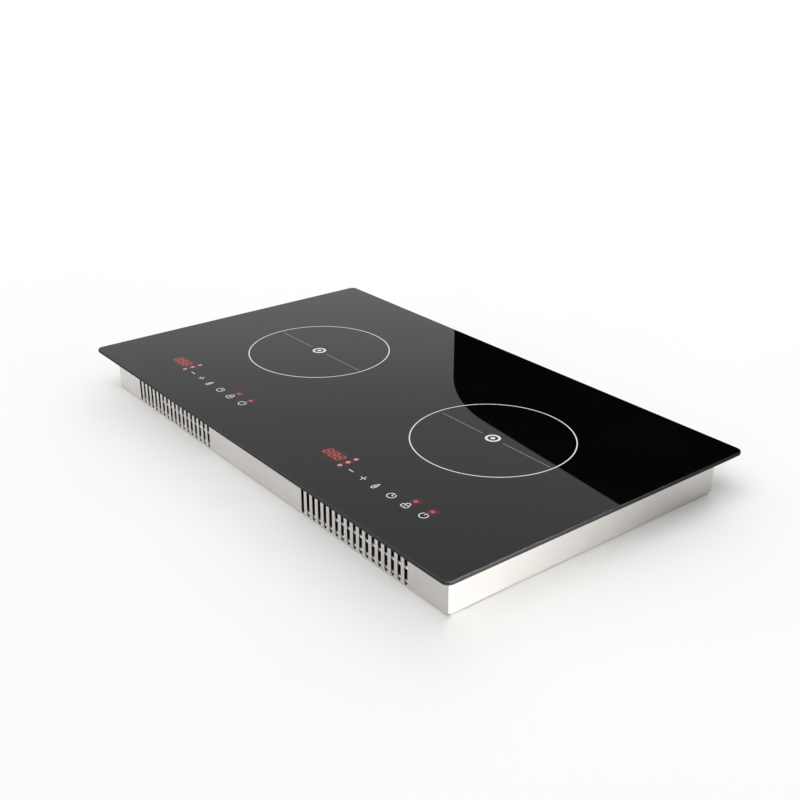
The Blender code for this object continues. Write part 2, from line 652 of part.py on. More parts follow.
def make_coil(label, zone, look):
    ring(f"mica_disc_{label}", SENSOR_HOLE_RADIUS, COIL_RIM_RADIUS, MICA_LOW, TRAY_TOP, parent=zone,
         look=look["mica"])
    ring(f"coil_winding_{label}", COIL_INNER_RADIUS, COIL_OUTER_RADIUS, COIL_LOW, COIL_TOP, parent=zone,
         look=look["copper"])
    former = ring(f"coil_former_{label}", SENSOR_HOLE_RADIUS, COIL_RIM_RADIUS, FORMER_LOW, FORMER_TOP,
                  parent=zone, look=look["white_plastic"])
    hub_outer = COIL_INNER_RADIUS - GAP
    join(former, ring(f"former_hub_{label}", hub_outer - FORMER_HUB_WALL, hub_outer, FORMER_LOW + MM,
                      COIL_TOP, parent=zone))
    ferrite_start = COIL_INNER_RADIUS + FERRITE_INSET
    ferrite_length = COIL_OUTER_RADIUS - FERRITE_INSET - ferrite_start
    for number in range(FERRITE_COUNT):
        angle = math.tau * (number + 0.5) / FERRITE_COUNT
        corners = [((0, -FERRITE_WIDTH / 2, FERRITE_LOW), (ferrite_length, FERRITE_WIDTH / 2, FERRITE_TOP))]
        bar = boxes(f"ferrite_bar_{label}_{number + 1}", corners, parent=zone, look=look["ferrite"],
                    location=(ferrite_start * math.cos(angle), ferrite_start * math.sin(angle), 0))
        bar.rotation_euler.z = angle
    sensor = cylinders(f"heat_sensor_{label}", [((0, 0, 0), SENSOR_RADIUS, FERRITE_LOW, TRAY_TOP)],
                       parent=zone, look=look["silicone"])
    collar_top = FERRITE_LOW + SENSOR_COLLAR_HEIGHT
    collar = [((0, 0, 0), SENSOR_RADIUS + SENSOR_COLLAR_WIDTH, FERRITE_LOW, collar_top)]
    join(sensor, cylinders(f"sensor_collar_{label}", collar, parent=zone))


def make_coil_plate(label, zone, look):
    """A sheet under the coil that stands on four folded legs with feet on the tray's floor."""
    half = COIL_PLATE_SIZE / 2
    sheet = COIL_PLATE_THICKNESS
    plate = boxes(f"coil_plate_{label}", [((-half, -half, COIL_PLATE_LOW), (half, half, COIL_PLATE_TOP))],
                  parent=zone, look=look["aluminium"])
    legs, feet = [], []
    for across in (-1, 1):
        for along in (-1, 1):
            y = along * LEG_OFFSET_Y
            edge, inside = across * half, across * (half - sheet)
            tip = across * (half + FOOT_LENGTH)
            legs.append(((min(edge, inside), y - LEG_WIDTH / 2, FLOOR),
                         (max(edge, inside), y + LEG_WIDTH / 2, COIL_PLATE_LOW + sheet / 2)))
            feet.append(((min(tip, inside), y - LEG_WIDTH / 2, FLOOR),
                         (max(tip, inside), y + LEG_WIDTH / 2, FLOOR + sheet)))
    join(plate, boxes(f"coil_plate_legs_{label}", legs, parent=zone))
    join(plate, boxes(f"coil_plate_feet_{label}", feet, parent=zone))
    hole_radius = LEAD_RADIUS + LEAD_HOLE_CLEARANCE
    hole = [((*lead_hole_place(), 0), hole_radius, COIL_PLATE_LOW - MM, COIL_PLATE_TOP + MM)]
    cut(plate, cylinders(f"lead_hole_{label}", hole, parent=zone))


def make_coil_lead(label, zone, look):
    """Leaves the winding's rim, runs along it, and drops through the plate to the power board."""
    rim = COIL_OUTER_RADIUS + LEAD_RADIUS + GAP
    level = COIL_TOP - LEAD_RADIUS
    hole_x, hole_y = lead_hole_place()
    start_y = -math.sqrt(rim ** 2 - LEAD_START_X ** 2) - MM / 2
    route = [(LEAD_START_X, start_y, level),
             (LEAD_START_X / 3, -rim - MM, level),
             (hole_x / 2, hole_y + MM / 2, level - LEAD_RADIUS),
             (hole_x, hole_y, (level + COIL_PLATE_LOW) / 2),
             (hole_x, hole_y + MM, (COIL_PLATE_LOW + PART_LOW) / 2),
             (hole_x, hole_y + LEAD_RADIUS, PART_LOW)]
    tube(f"coil_lead_{label}", smooth_path(route, 5), LEAD_RADIUS, parent=zone, look=look["copper"])


def make_power_board(label, zone, look):
    board_width, board_depth, _ = POWER_BOARD_SIZE
    carrier_size = (board_width + 2 * CARRIER_MARGIN, board_depth + 2 * CARRIER_MARGIN, CARRIER_THICKNESS)
    carrier = boxes(f"board_carrier_{label}", [centred_box(0, POWER_BOARD_Y, carrier_size, FLOOR)],
                    parent=zone, look=look["black_plastic"])
    half_x = board_width / 2 - POST_INSET
    half_y = board_depth / 2 - POST_INSET
    posts = [((x, POWER_BOARD_Y + y, 0), POST_RADIUS, FLOOR + MM, BOARD_LEVEL)
             for x in (-half_x, 0, half_x) for y in (-half_y, half_y)]
    join(carrier, cylinders(f"carrier_posts_{label}", posts, parent=zone))
    board = boxes(f"power_board_{label}", [centred_box(0, POWER_BOARD_Y, POWER_BOARD_SIZE, BOARD_LOW)],
                  parent=zone, look=look["board"])
    soldered = [centred_box(*place, size, BOARD_LOW + BOARD_THICKNESS / 2)
                for place, size in ((TRANSFORMER_PLACE, TRANSFORMER_SIZE), (RELAY_PLACE, RELAY_SIZE),
                                    (SOCKET_PLACE, SOCKET_SIZE))]
    join(board, boxes(f"soldered_parts_{label}", soldered, parent=zone))


def make_heat_sink(label, zone, look):
    """An extrusion whose fins run from the fan towards the front, with the two hot parts on its side."""
    low_x, high_x = SINK_X - SINK_WIDTH / 2, SINK_X + SINK_WIDTH / 2
    low_y, high_y = SINK_Y - SINK_DEPTH / 2, SINK_Y + SINK_DEPTH / 2
    sink = boxes(f"heat_sink_{label}", [((low_x, low_y, PART_LOW), (high_x, high_y, PART_LOW + SINK_HEIGHT))],
                 parent=zone, look=look["aluminium"])
    pitch = (SINK_WIDTH - SINK_FIN) / (SINK_FIN_COUNT - 1)
    channels = []
    for i in range(SINK_FIN_COUNT - 1):
        start = low_x + SINK_FIN + i * pitch
        channels.append(((start, low_y - MM, PART_LOW + SINK_BASE),
                         (start + pitch - SINK_FIN, high_y + MM, PART_LOW + SINK_HEIGHT + MM)))
    cut(sink, boxes(f"sink_channels_{label}", channels, parent=zone))
    side = high_x + GAP
    hot_parts = (("power_transistor", TRANSISTOR_Y, TRANSISTOR_WIDTH, TRANSISTOR_LEG_LENGTH, 3),
                 ("bridge_rectifier", RECTIFIER_Y, RECTIFIER_WIDTH, RECTIFIER_LEG_LENGTH, 4))
    for name, y, width, leg_length, leg_count in hot_parts:
        corners = ((side, y - width / 2, PART_LOW + leg_length),
                   (side + PACKAGE_THICKNESS, y + width / 2, PART_LOW + SINK_HEIGHT))
        package = boxes(f"{name}_{label}", [corners], parent=zone, look=look["ferrite"])
        middle = side + PACKAGE_THICKNESS / 2
        legs = []
        for i in range(leg_count):
            leg_y = y + width * PACKAGE_LEG_SPREAD * (i / (leg_count - 1) - 0.5)
            legs.append(centred_box(middle, leg_y, (PACKAGE_LEG, PACKAGE_LEG, leg_length + MM), PART_LOW))
        join(package, boxes(f"{name}_legs_{label}", legs, parent=zone))


def make_capacitor(label, zone, look):
    boxes(f"resonant_capacitor_{label}", [centred_box(CAPACITOR_X, CAPACITOR_Y, CAPACITOR_SIZE, PART_LOW)],
          parent=zone, look=look["capacitor"])


# Fan: the frame stands over the intake slots and the rotor turns about the fan's own axis

def make_fan_frame(label, zone, look):
    place = (0, FAN_Y, 0)
    top = FLOOR + FAN_HEIGHT
    outline = rounded_outline(FAN_SIZE, FAN_SIZE, FAN_CORNER_RADIUS, steps=3)
    frame = prism(f"fan_frame_{label}", outline, FLOOR, top, parent=zone, look=look["black_plastic"],
                  location=place)
    cut(frame, cylinders(f"fan_bore_{label}", [((0, 0, 0), FAN_BORE_RADIUS, 0, top + MM)], sides=BIG_CIRCLE,
                         parent=zone, location=place))
    reach = FAN_BORE_RADIUS + MM
    half = FAN_STRUT_WIDTH / 2
    low, high = top - FAN_STRUT_THICKNESS, top - FAN_STRUT_INSET
    for name, x, y in (("struts", reach, half), ("cross_struts", half, reach)):
        bar = ((-x, -y, low), (x, y, high))
        join(frame, boxes(f"fan_{name}_{label}", [bar], parent=zone, location=place))
    seat = [((0, 0, 0), FAN_HUB_RADIUS, low - FAN_STRUT_INSET, top)]
    join(frame, cylinders(f"fan_motor_seat_{label}", seat, sides=MEDIUM_CIRCLE, parent=zone, location=place))
    bearing = [((0, 0, 0), FAN_SHAFT_RADIUS + GAP, low - MM, top - MM)]
    cut(frame, cylinders(f"fan_bearing_{label}", bearing, parent=zone, location=place))


def make_fan_rotor(label, zone, look):
    """A hub with pitched blades and a shaft that runs in the frame's bearing."""
    place = (0, FAN_Y, 0)
    low = FLOOR + 2 * MM
    high = FLOOR + FAN_HEIGHT - FAN_STRUT_THICKNESS - MM
    rotor = cylinders(f"fan_rotor_{label}", [((0, 0, 0), FAN_HUB_RADIUS, low, high)], sides=MEDIUM_CIRCLE,
                      parent=zone, look=look["black_plastic"], location=place)
    work = bmesh.new()
    inner, outer = FAN_HUB_RADIUS - MM, FAN_BORE_RADIUS - FAN_TIP_CLEARANCE
    for number in range(FAN_BLADES):
        corners = add_box(work, (inner, -FAN_BLADE_CHORD / 2, -FAN_BLADE_THICKNESS / 2),
                          (outer, FAN_BLADE_CHORD / 2, FAN_BLADE_THICKNESS / 2))
        turn = Matrix.Rotation(math.tau * number / FAN_BLADES, 4, "Z")
        lift = Matrix.Translation((0, 0, (low + high) / 2))
        pitch = Matrix.Rotation(FAN_BLADE_PITCH, 4, "X")
        bmesh.ops.transform(work, matrix=lift @ turn @ pitch, verts=corners)
    blades = add_object(f"fan_blades_{label}", mesh_from("fan_blades", work), parent=zone, location=place)
    join(rotor, blades)
    shaft = [((0, 0, 0), FAN_SHAFT_RADIUS, high - MM, high + FAN_SHAFT_REACH)]
    join(rotor, cylinders(f"fan_shaft_{label}", shaft, parent=zone, location=place))


# Touch controls under the glass

def make_touch_controls(label, zone, look):
    low_x = DISPLAY_X - DISPLAY_SIZE[0] / 2 - TOUCH_MARGIN
    high_x = KEY_X[-1] + TOUCH_MARGIN
    middle_y = FRONT_FROM_ZONE + TOUCH_BOARD_FROM_FRONT
    size = (high_x - low_x, TOUCH_BOARD_DEPTH, BOARD_THICKNESS)
    middle_x = (low_x + high_x) / 2
    board = boxes(f"touch_board_{label}", [centred_box(middle_x, middle_y, size, TOUCH_BOARD_LOW)],
                  parent=zone, look=look["board"])
    key_y = FRONT_FROM_ZONE + KEY_FROM_FRONT
    pads = [((x, key_y, 0), KEY_PAD_RADIUS, TOUCH_BOARD_LOW + BOARD_THICKNESS / 2, TRAY_TOP) for x in KEY_X]
    join(board, cylinders(f"touch_pads_{label}", pads, parent=zone))
    display_y = FRONT_FROM_ZONE + DISPLAY_FROM_FRONT
    boxes(f"digit_display_{label}", [centred_box(DISPLAY_X, display_y, DISPLAY_SIZE, DISPLAY_LOW)],
          parent=zone, look=look["display"])
    base_top = TOUCH_BOARD_LOW - GAP
    base_low = base_top - TOUCH_CARRIER_THICKNESS
    front = FRONT_FROM_ZONE + 2 * (SHEET + GAP) + TOUCH_CARRIER_FROM_SKIRT
    back = middle_y + TOUCH_BOARD_DEPTH / 2 - TOUCH_CARRIER_SETBACK
    carrier = boxes(f"touch_carrier_{label}", [((low_x, front, base_low), (high_x, back, base_top))],
                    parent=zone, look=look["black_plastic"])
    lip = [((low_x, front, base_low + MM), (high_x, front + TOUCH_CARRIER_LIP, FLANGE_TOP - SHEET - GAP))]
    join(carrier, boxes(f"touch_carrier_lip_{label}", lip, parent=zone))


def make_ribbon(label, zone, look):
    """A flat cable from the touch board's back edge down to the power board's connector."""
    board_back = FRONT_FROM_ZONE + TOUCH_BOARD_FROM_FRONT + TOUCH_BOARD_DEPTH / 2
    start_y = board_back - TOUCH_CARRIER_SETBACK / 2
    plug_y = SOCKET_PLACE[1] - SOCKET_SIZE[1] / 2 - GAP
    side_view = [(start_y, TOUCH_BOARD_LOW - GAP), (start_y, RIBBON_LEVEL + RIBBON_BEND)]
    for step in (1, 2, 3):
        angle = math.radians(90) * step / 3
        side_view.append((start_y + RIBBON_BEND * (1 - math.cos(angle)),
                          RIBBON_LEVEL + RIBBON_BEND * (1 - math.sin(angle))))
    side_view.append((plug_y, RIBBON_LEVEL))
    half = RIBBON_THICKNESS / 2
    work = bmesh.new()
    rows = []
    for i, (y, z) in enumerate(side_view):
        before, after = side_view[max(i - 1, 0)], side_view[min(i + 1, len(side_view) - 1)]
        along = Vector((after[0] - before[0], after[1] - before[1])).normalized()
        side = Vector((-along.y, along.x)) * half
        row = []
        for x, sign in ((-1, 1), (1, 1), (1, -1), (-1, -1)):
            row.append(work.verts.new((x * RIBBON_WIDTH / 2, y + sign * side.x, z + sign * side.y)))
        rows.append(row)
    for first, second in zip(rows, rows[1:]):
        for i in range(4):
            work.faces.new((first[i], first[(i + 1) % 4], second[(i + 1) % 4], second[i]))
    work.faces.new(rows[0])
    work.faces.new(rows[-1])
    add_object(f"ribbon_cable_{label}", mesh_from("ribbon_cable", work), parent=zone, look=look["ribbon"])


clear_scene()
LOOK = looks()
make_glass(LOOK)
make_seal(LOOK)
make_frame(LOOK)
make_bead(LOOK)
make_frame_screws(LOOK)
make_tray(LOOK)
make_gland(LOOK)
make_terminal_block(LOOK)
make_filter(LOOK)
for LABEL, SIDE in SIDES.items():
    make_vent_guard(LABEL, SIDE, LOOK)
    ZONE = add_object(f"zone_{LABEL}", None, location=(SIDE * ZONE_X, ZONE_Y, 0))
    make_coil(LABEL, ZONE, LOOK)
    make_coil_plate(LABEL, ZONE, LOOK)
    make_coil_lead(LABEL, ZONE, LOOK)
    make_power_board(LABEL, ZONE, LOOK)
    make_heat_sink(LABEL, ZONE, LOOK)
    make_capacitor(LABEL, ZONE, LOOK)
    make_fan_frame(LABEL, ZONE, LOOK)
    make_fan_rotor(LABEL, ZONE, LOOK)
    make_touch_controls(LABEL, ZONE, LOOK)
    make_ribbon(LABEL, ZONE, LOOK)
bpy.context.view_layer.update()
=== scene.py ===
import bmesh
import bpy
import numpy as np
from mathutils import Matrix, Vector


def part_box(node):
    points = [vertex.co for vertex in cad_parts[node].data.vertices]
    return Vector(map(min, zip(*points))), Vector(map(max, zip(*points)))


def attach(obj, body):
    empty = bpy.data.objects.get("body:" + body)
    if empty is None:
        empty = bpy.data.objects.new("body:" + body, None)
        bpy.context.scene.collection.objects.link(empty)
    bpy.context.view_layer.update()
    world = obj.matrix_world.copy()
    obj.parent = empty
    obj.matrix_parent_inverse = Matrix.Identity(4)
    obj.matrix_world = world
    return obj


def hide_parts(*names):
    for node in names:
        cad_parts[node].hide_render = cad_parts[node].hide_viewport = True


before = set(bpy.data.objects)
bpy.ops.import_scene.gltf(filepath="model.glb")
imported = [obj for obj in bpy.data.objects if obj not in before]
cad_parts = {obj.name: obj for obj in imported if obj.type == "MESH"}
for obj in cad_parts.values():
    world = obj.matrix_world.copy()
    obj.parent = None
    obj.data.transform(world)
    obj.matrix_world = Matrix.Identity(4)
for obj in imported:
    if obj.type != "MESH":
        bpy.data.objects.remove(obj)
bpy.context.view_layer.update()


# Studio: a matt white floor, an even pale sky, a broad soft key from above, low softboxes at the right and in
# front, and one for the backdrop. A grey reflector with a black card before it hangs behind the back edge, where
# only gloss mirrors them: the plate shows the reflector's grey and, past a sharp curved edge, the card's black.

MM = 0.001


def linear(colour):
    """An sRGB hex colour as linear red, green, blue and alpha: v/12.92 where v is small,
    else ((v+0.055)/1.055)^2.4."""
    value = np.array([int(colour[i:i + 2], 16) for i in (1, 3, 5)]) / 255
    value = np.where(value <= 0.04045, value / 12.92, ((value + 0.055) / 1.055) ** 2.4)
    return (*value.tolist(), 1.0)


def add(owner, kind, settings=None, links=None):
    """Adds a shader node to a material or world. settings are its own attributes or its inputs' values;
    links join its inputs to outputs."""
    node = owner.node_tree.nodes.new("ShaderNode" + kind)
    for key, value in (settings or {}).items():
        if isinstance(key, str) and hasattr(node, key):
            setattr(node, key, value)
        else:
            node.inputs[key].default_value = value
    for key, source in (links or {}).items():
        owner.node_tree.links.new(source, node.inputs[key])
    return node


def blank(name):
    """A new material with an empty tree, and the Object coordinates that its patterns read."""
    made = bpy.data.materials.new(name)
    made.use_nodes = True
    made.node_tree.nodes.clear()
    return made, add(made, "TexCoord").outputs["Object"]


def close(made, settings, links):
    """The Principled shader and the output that end a material's tree."""
    shader = add(made, "BsdfPrincipled", settings, links)
    add(made, "OutputMaterial", None, {"Surface": shader.outputs[0]})


def quads(index):
    """One face between each four neighbours in a grid of point numbers."""
    around = [index[:-1, :-1], index[1:, :-1], index[1:, 1:], index[:-1, 1:]]
    return np.stack(around, axis=-1).reshape(-1, 4).tolist()


def from_grid(name, grid, made):
    """An object from an (n, m, 3) grid of points."""
    rows, columns = grid.shape[:2]
    mesh = bpy.data.meshes.new(name)
    mesh.from_pydata(grid.reshape(-1, 3).tolist(), [], quads(np.arange(rows * columns).reshape(rows, columns)))
    mesh.materials.append(made)
    thing = bpy.data.objects.new(name, mesh)
    bpy.context.collection.objects.link(thing)
    return thing


# Matt white vinyl: almost no gloss, a faint unevenness 0.4 m across.
vinyl, place = blank("studio_vinyl")
mottle = add(vinyl, "TexNoise", {"Scale": 2.5, "Detail": 2.0}, {"Vector": place})
tone = add(vinyl, "Mix", {"data_type": "RGBA", 6: linear("#E9E9E8"), 7: linear("#EDEDEC")},
           {0: mottle.outputs["Fac"]})
close(vinyl, {"Roughness": 0.9, "Specular IOR Level": 0.0}, {"Base Color": tone.outputs[2]})
across, floor_level = np.linspace(-30, 30, 31), -0.4 * MM
floor_grid = np.stack(np.meshgrid(across, across, [floor_level], indexing="ij"), axis=-1)[:, :, 0]
from_grid("studio_floor", floor_grid, vinyl)

# Black card: its left edge is upright, its top slopes up to the right, and the corner between them is round.
card_black, _ = blank("studio_black_card")
close(card_black, {"Base Color": linear("#000000"), "Roughness": 1.0, "Specular IOR Level": 0.0}, {})
card_away, cloth_away, stand_turn = 3.0, 3.1, np.radians(51.7)
side_x, side_y = np.cos(stand_turn), np.sin(stand_turn)
bend = np.linspace(0, 1, 17)[:, None]
corner = ((1 - bend) ** 2 * (0.236, 1.28) + 2 * bend * (1 - bend) * (0.236, 1.40) + bend ** 2 * (0.37, 1.49))
wide, high = np.vstack([corner, (3.0, 3.23)]).T
upper = np.stack([wide * side_x - card_away * side_y, wide * side_y + card_away * side_x, high], axis=-1)
lower = upper * (1, 1, 0) + (0, 0, 0.5)
card = from_grid("studio_card", np.stack([lower, upper]), card_black)

# Grey reflector: evenly lit cloth 8 m wide, a little brighter towards its foot.
reflector_grey, place = blank("studio_grey_reflector")
rise = add(reflector_grey, "SeparateXYZ", None, {"Vector": place})
lit = add(reflector_grey, "MapRange", {"From Min": 0.9, "From Max": 1.5, "To Min": 0.66, "To Max": 0.49},
          {"Value": rise.outputs["Z"]})
close(reflector_grey, {"Base Color": linear("#000000"), "Specular IOR Level": 0.0,
                       "Emission Color": linear("#FFFFFF")}, {"Emission Strength": lit.outputs[0]})
sideways, height = np.meshgrid((-4.0, 0.0, 4.0), (0.4, 1.0, 2.0, 4.0), indexing="ij")
cloth = np.stack([sideways * side_x - cloth_away * side_y, sideways * side_y + cloth_away * side_x, height], axis=-1)
reflector = from_grid("studio_reflector", cloth, reflector_grey)

# Black flag on the right, behind: the far end of the tray's right wall mirrors it and so turns darker.
flag_away, flag_height, flag_turn = 1.3, 2.2, np.radians(np.linspace(32, 100, 14))
flag_foot = np.stack([flag_away * np.cos(flag_turn), flag_away * np.sin(flag_turn), 0 * flag_turn], axis=-1)
flag = from_grid("studio_flag", np.stack([flag_foot, flag_foot + (0, 0, flag_height)]), card_black)
for thing in (card, flag, reflector):
    for ray in ("camera", "diffuse", "shadow", "transmission", "volume_scatter"):
        setattr(thing, "visible_" + ray, False)

sky = bpy.data.worlds.new("studio_sky")
sky.use_nodes = True
sky.node_tree.nodes.clear()
seen = add(sky, "LightPath")
behind = add(sky, "Mix", {"data_type": "RGBA", 6: (0.72, 0.72, 0.72, 1), 7: linear("#FCFCFC")},
             {0: seen.outputs["Is Camera Ray"]})
glow = add(sky, "Background", {"Strength": 1.0}, {"Color": behind.outputs[2]})
add(sky, "OutputWorld", None, {"Surface": glow.outputs[0]})
bpy.context.scene.world = sky
bpy.context.scene.view_settings.view_transform = "Standard"


def softbox(name, place, towards, width, height, power):
    """A rectangular area light that faces a point."""
    lamp = bpy.data.lights.new(name, "AREA")
    lamp.shape, lamp.size, lamp.size_y, lamp.energy = "RECTANGLE", width, height, power
    thing = bpy.data.objects.new(name, lamp)
    bpy.context.collection.objects.link(thing)
    back = np.subtract(place, towards) / np.linalg.norm(np.subtract(place, towards))
    right = np.cross((0, 0, 1), back)
    right = right / np.linalg.norm(right)
    turn = np.eye(4)
    turn[:3, 0], turn[:3, 1], turn[:3, 2], turn[:3, 3] = right, np.cross(back, right), back, place
    thing.matrix_world = Matrix(turn.tolist())
    thing.visible_camera = False
    return thing


strip_light = softbox("side_softbox", (2.0, 0.6, 0.5), (0.34, -0.36, 0), 0.5, 0.5, 4.8)
strip_light.data.spread, strip_light.visible_diffuse = np.radians(16), False
softbox("front_softbox", (-1.4, -2.2, 0.5), (-0.1, -0.19, 0), 2.4, 0.8, 45).visible_diffuse = False
softbox("background_softbox", (-4, 6, 3.5), (-3, 4.5, 0), 6.0, 6.0, 140).visible_glossy = False
key = bpy.data.objects.new("key_light", bpy.data.lights.new("key_light", "SUN"))
key.data.energy, key.data.angle = 1.36, np.radians(50)
key.rotation_euler = (np.radians(28), 0, np.radians(12))
bpy.context.collection.objects.link(key)

# Camera: 52 degrees round from the front edge, 24 degrees up, 1.4 m from the cooktop's middle.
turn, rise, roll = np.radians(51.685), np.radians(23.869), np.radians(0.133)
back = np.array([np.sin(turn) * np.cos(rise), -np.cos(turn) * np.cos(rise), np.sin(rise)])
right = np.array([np.cos(turn), np.sin(turn), 0])
up = np.cross(back, right)
pose = np.eye(4)
pose[:3, 0] = np.cos(roll) * right + np.sin(roll) * up
pose[:3, 1] = np.cos(roll) * up - np.sin(roll) * right
pose[:3, 2], pose[:3, 3] = back, (0.9987, -0.7691, 0.6056)
lens = bpy.data.cameras.new("camera")
lens.lens, lens.sensor_width, lens.clip_start = 50.431, 36, 0.01
camera = bpy.data.objects.new("camera", lens)
camera.matrix_world = Matrix(pose.tolist())
bpy.context.collection.objects.link(camera)
bpy.context.scene.camera = camera


# Base tray: one sheet of 0.8 mm stainless steel, slotted, then folded up on four sides.
# Brushed on a belt, so fine streaks run along the walls and along the floor.

def coat(made, *names):
    """Gives the CAD nodes a material through their own slots."""
    for name in names:
        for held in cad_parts[name].material_slots:
            held.material = made


# Brushed stainless steel: a soft broad gloss drawn out by streaks 70 mm long. Real streaks are 0.05 mm wide;
# these are 0.7 mm so that they show. The scales are streaks in a metre.
brushed, place = blank("brushed_stainless_steel")
lengthways, crossways = 14, 1400
axis = add(brushed, "SeparateXYZ", None, {"Vector": place})
along = add(brushed, "Math", {"operation": "ADD"}, {0: axis.outputs["X"], 1: axis.outputs["Y"]})
wall = add(brushed, "CombineXYZ", None, {"X": along.outputs[0], "Z": axis.outputs["Z"]})
wall_scaled = add(brushed, "Mapping", {"Scale": (lengthways, 1, crossways)}, {"Vector": wall.outputs[0]})
wall_streaks = add(brushed, "TexNoise", {"Scale": 1.0, "Detail": 3.0}, {"Vector": wall_scaled.outputs[0]})
floor_scaled = add(brushed, "Mapping", {"Scale": (lengthways, crossways, 1)}, {"Vector": place})
floor_streaks = add(brushed, "TexNoise", {"Scale": 1.0, "Detail": 3.0}, {"Vector": floor_scaled.outputs[0]})
on_wall = add(brushed, "MapRange", {"From Min": 0.5 * MM, "From Max": 1.5 * MM}, {"Value": axis.outputs["Z"]})
streaks = add(brushed, "Mix", None, {0: on_wall.outputs[0], 2: floor_streaks.outputs["Fac"],
                                     3: wall_streaks.outputs["Fac"]})
clouds = add(brushed, "TexNoise", {"Scale": 9.0, "Detail": 2.0}, {"Vector": place})
steel_tone = add(brushed, "Mix", {"data_type": "RGBA", 6: linear("#C4C1BE"), 7: linear("#DAD8D6")},
                 {0: streaks.outputs[0]})
steel_clouded = add(brushed, "Mix", {"data_type": "RGBA", "blend_type": "MULTIPLY", 7: linear("#F4F3F1")},
                    {0: clouds.outputs["Fac"], 6: steel_tone.outputs[2]})
steel_rough = add(brushed, "MapRange", {"To Min": 0.34, "To Max": 0.46}, {"Value": streaks.outputs[0]})
steel_bump = add(brushed, "Bump", {"Strength": 0.12, "Distance": 0.1 * MM}, {"Height": streaks.outputs[0]})
close(brushed, {"Metallic": 1.0}, {"Base Color": steel_clouded.outputs[2], "Roughness": steel_rough.outputs[0],
                                   "Normal": steel_bump.outputs[0]})
coat(brushed, "base_tray")


# Vent guards and glass frame: galvanised steel strip, folded.
# Zinc crystals show as soft patches 6 mm wide.

def surface(made, settings, tones, roughs, bump=None):
    """Ends a material's tree with a pattern behind each quality: tones is an output and the colours at 0 and 1,
    roughs an output and the roughness at 0 and 1, and bump an output, a strength and a depth."""
    tone = add(made, "Mix", {"data_type": "RGBA", 6: linear(tones[1]), 7: linear(tones[2])}, {0: tones[0]})
    rough = add(made, "MapRange", {"To Min": roughs[1], "To Max": roughs[2]}, {"Value": roughs[0]})
    links = {"Base Color": tone.outputs[2], "Roughness": rough.outputs[0]}
    if bump:
        raised = add(made, "Bump", {"Strength": bump[1], "Distance": bump[2]}, {"Height": bump[0]})
        links["Normal"] = raised.outputs[0]
    close(made, settings, links)


galvanised, place = blank("galvanised_steel")
spangle = add(galvanised, "TexVoronoi", {"Scale": 160.0}, {"Vector": place})
shade = add(galvanised, "SeparateColor", None, {"Color": spangle.outputs["Color"]})
zinc_grain = add(galvanised, "TexNoise", {"Scale": 900.0, "Detail": 2.0}, {"Vector": place})
surface(galvanised, {"Metallic": 1.0}, (shade.outputs[0], "#C4C5C4", "#E0E0DE"), (shade.outputs[0], 0.32, 0.5),
        (zinc_grain.outputs["Fac"], 0.15, 0.05 * MM))
coat(galvanised, "vent_guard_left", "vent_guard_right", "glass_frame")


# Fans: a square frame and a seven-blade rotor, both moulded in black glass-filled nylon.
# The rotor hangs from a bearing in the struts; its blades are thin, curved and twisted.

def lay(parts, name, made, body, stands_for=()):
    """One piece from several surfaces. Each is an (n, m, 3) grid with an (n, m, 2) UV grid, and may have its first
    and last rows capped. Points that meet are merged and the faces are turned outwards."""
    points, faces, uvs, count = [], [], [], 0
    for grid, uv, capped in parts:
        rows, columns = grid.shape[:2]
        index = count + np.arange(rows * columns).reshape(rows, columns)
        faces += quads(index)
        if capped:
            faces += [index[0, :-1].tolist(), index[-1, :-1].tolist()]
        points.append(grid.reshape(-1, 3))
        uvs.append(uv.reshape(-1, 2))
        count += rows * columns
    mesh = bpy.data.meshes.new(name)
    mesh.from_pydata(np.concatenate(points).tolist(), [], faces)
    corner = np.empty(len(mesh.loops), dtype=np.int32)
    mesh.loops.foreach_get("vertex_index", corner)
    mesh.uv_layers.new(name="UVMap").data.foreach_set("uv", np.concatenate(uvs)[corner].ravel())
    work = bmesh.new()
    work.from_mesh(mesh)
    bmesh.ops.remove_doubles(work, verts=work.verts, dist=0.0005 * MM)
    bmesh.ops.recalc_face_normals(work, faces=work.faces)
    work.to_mesh(mesh)
    work.free()
    mesh.shade_smooth()
    mesh.set_sharp_from_angle(angle=np.radians(40))
    mesh.materials.append(made)
    thing = bpy.data.objects.new(name, mesh)
    bpy.context.collection.objects.link(thing)
    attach(thing, body)
    if stands_for:
        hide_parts(*stands_for)
    return thing


def turned(profile, centre, sides, axis="Z"):
    """A profile of (radius, height) points spun about an axis through centre:
    point(i, j) = centre + r_i (cos a_j, sin a_j) across the axis + h_i along it, with a_j from 0 to a full turn."""
    radius, height = np.asarray(profile, float).T
    angle = np.linspace(0, 2 * np.pi, sides + 1)
    across = radius[:, None] * np.cos(angle)
    over = radius[:, None] * np.sin(angle)
    raised = np.repeat(height[:, None], sides + 1, axis=1)
    order = (across, over, raised) if axis == "Z" else (across, raised, -over)
    length = np.concatenate([[0], np.cumsum(np.hypot(np.diff(radius), np.diff(height)))])
    uv = np.stack(np.broadcast_arrays(length[:, None], angle / (2 * np.pi)), axis=-1)
    return np.stack(order, axis=-1) + centre, uv, False


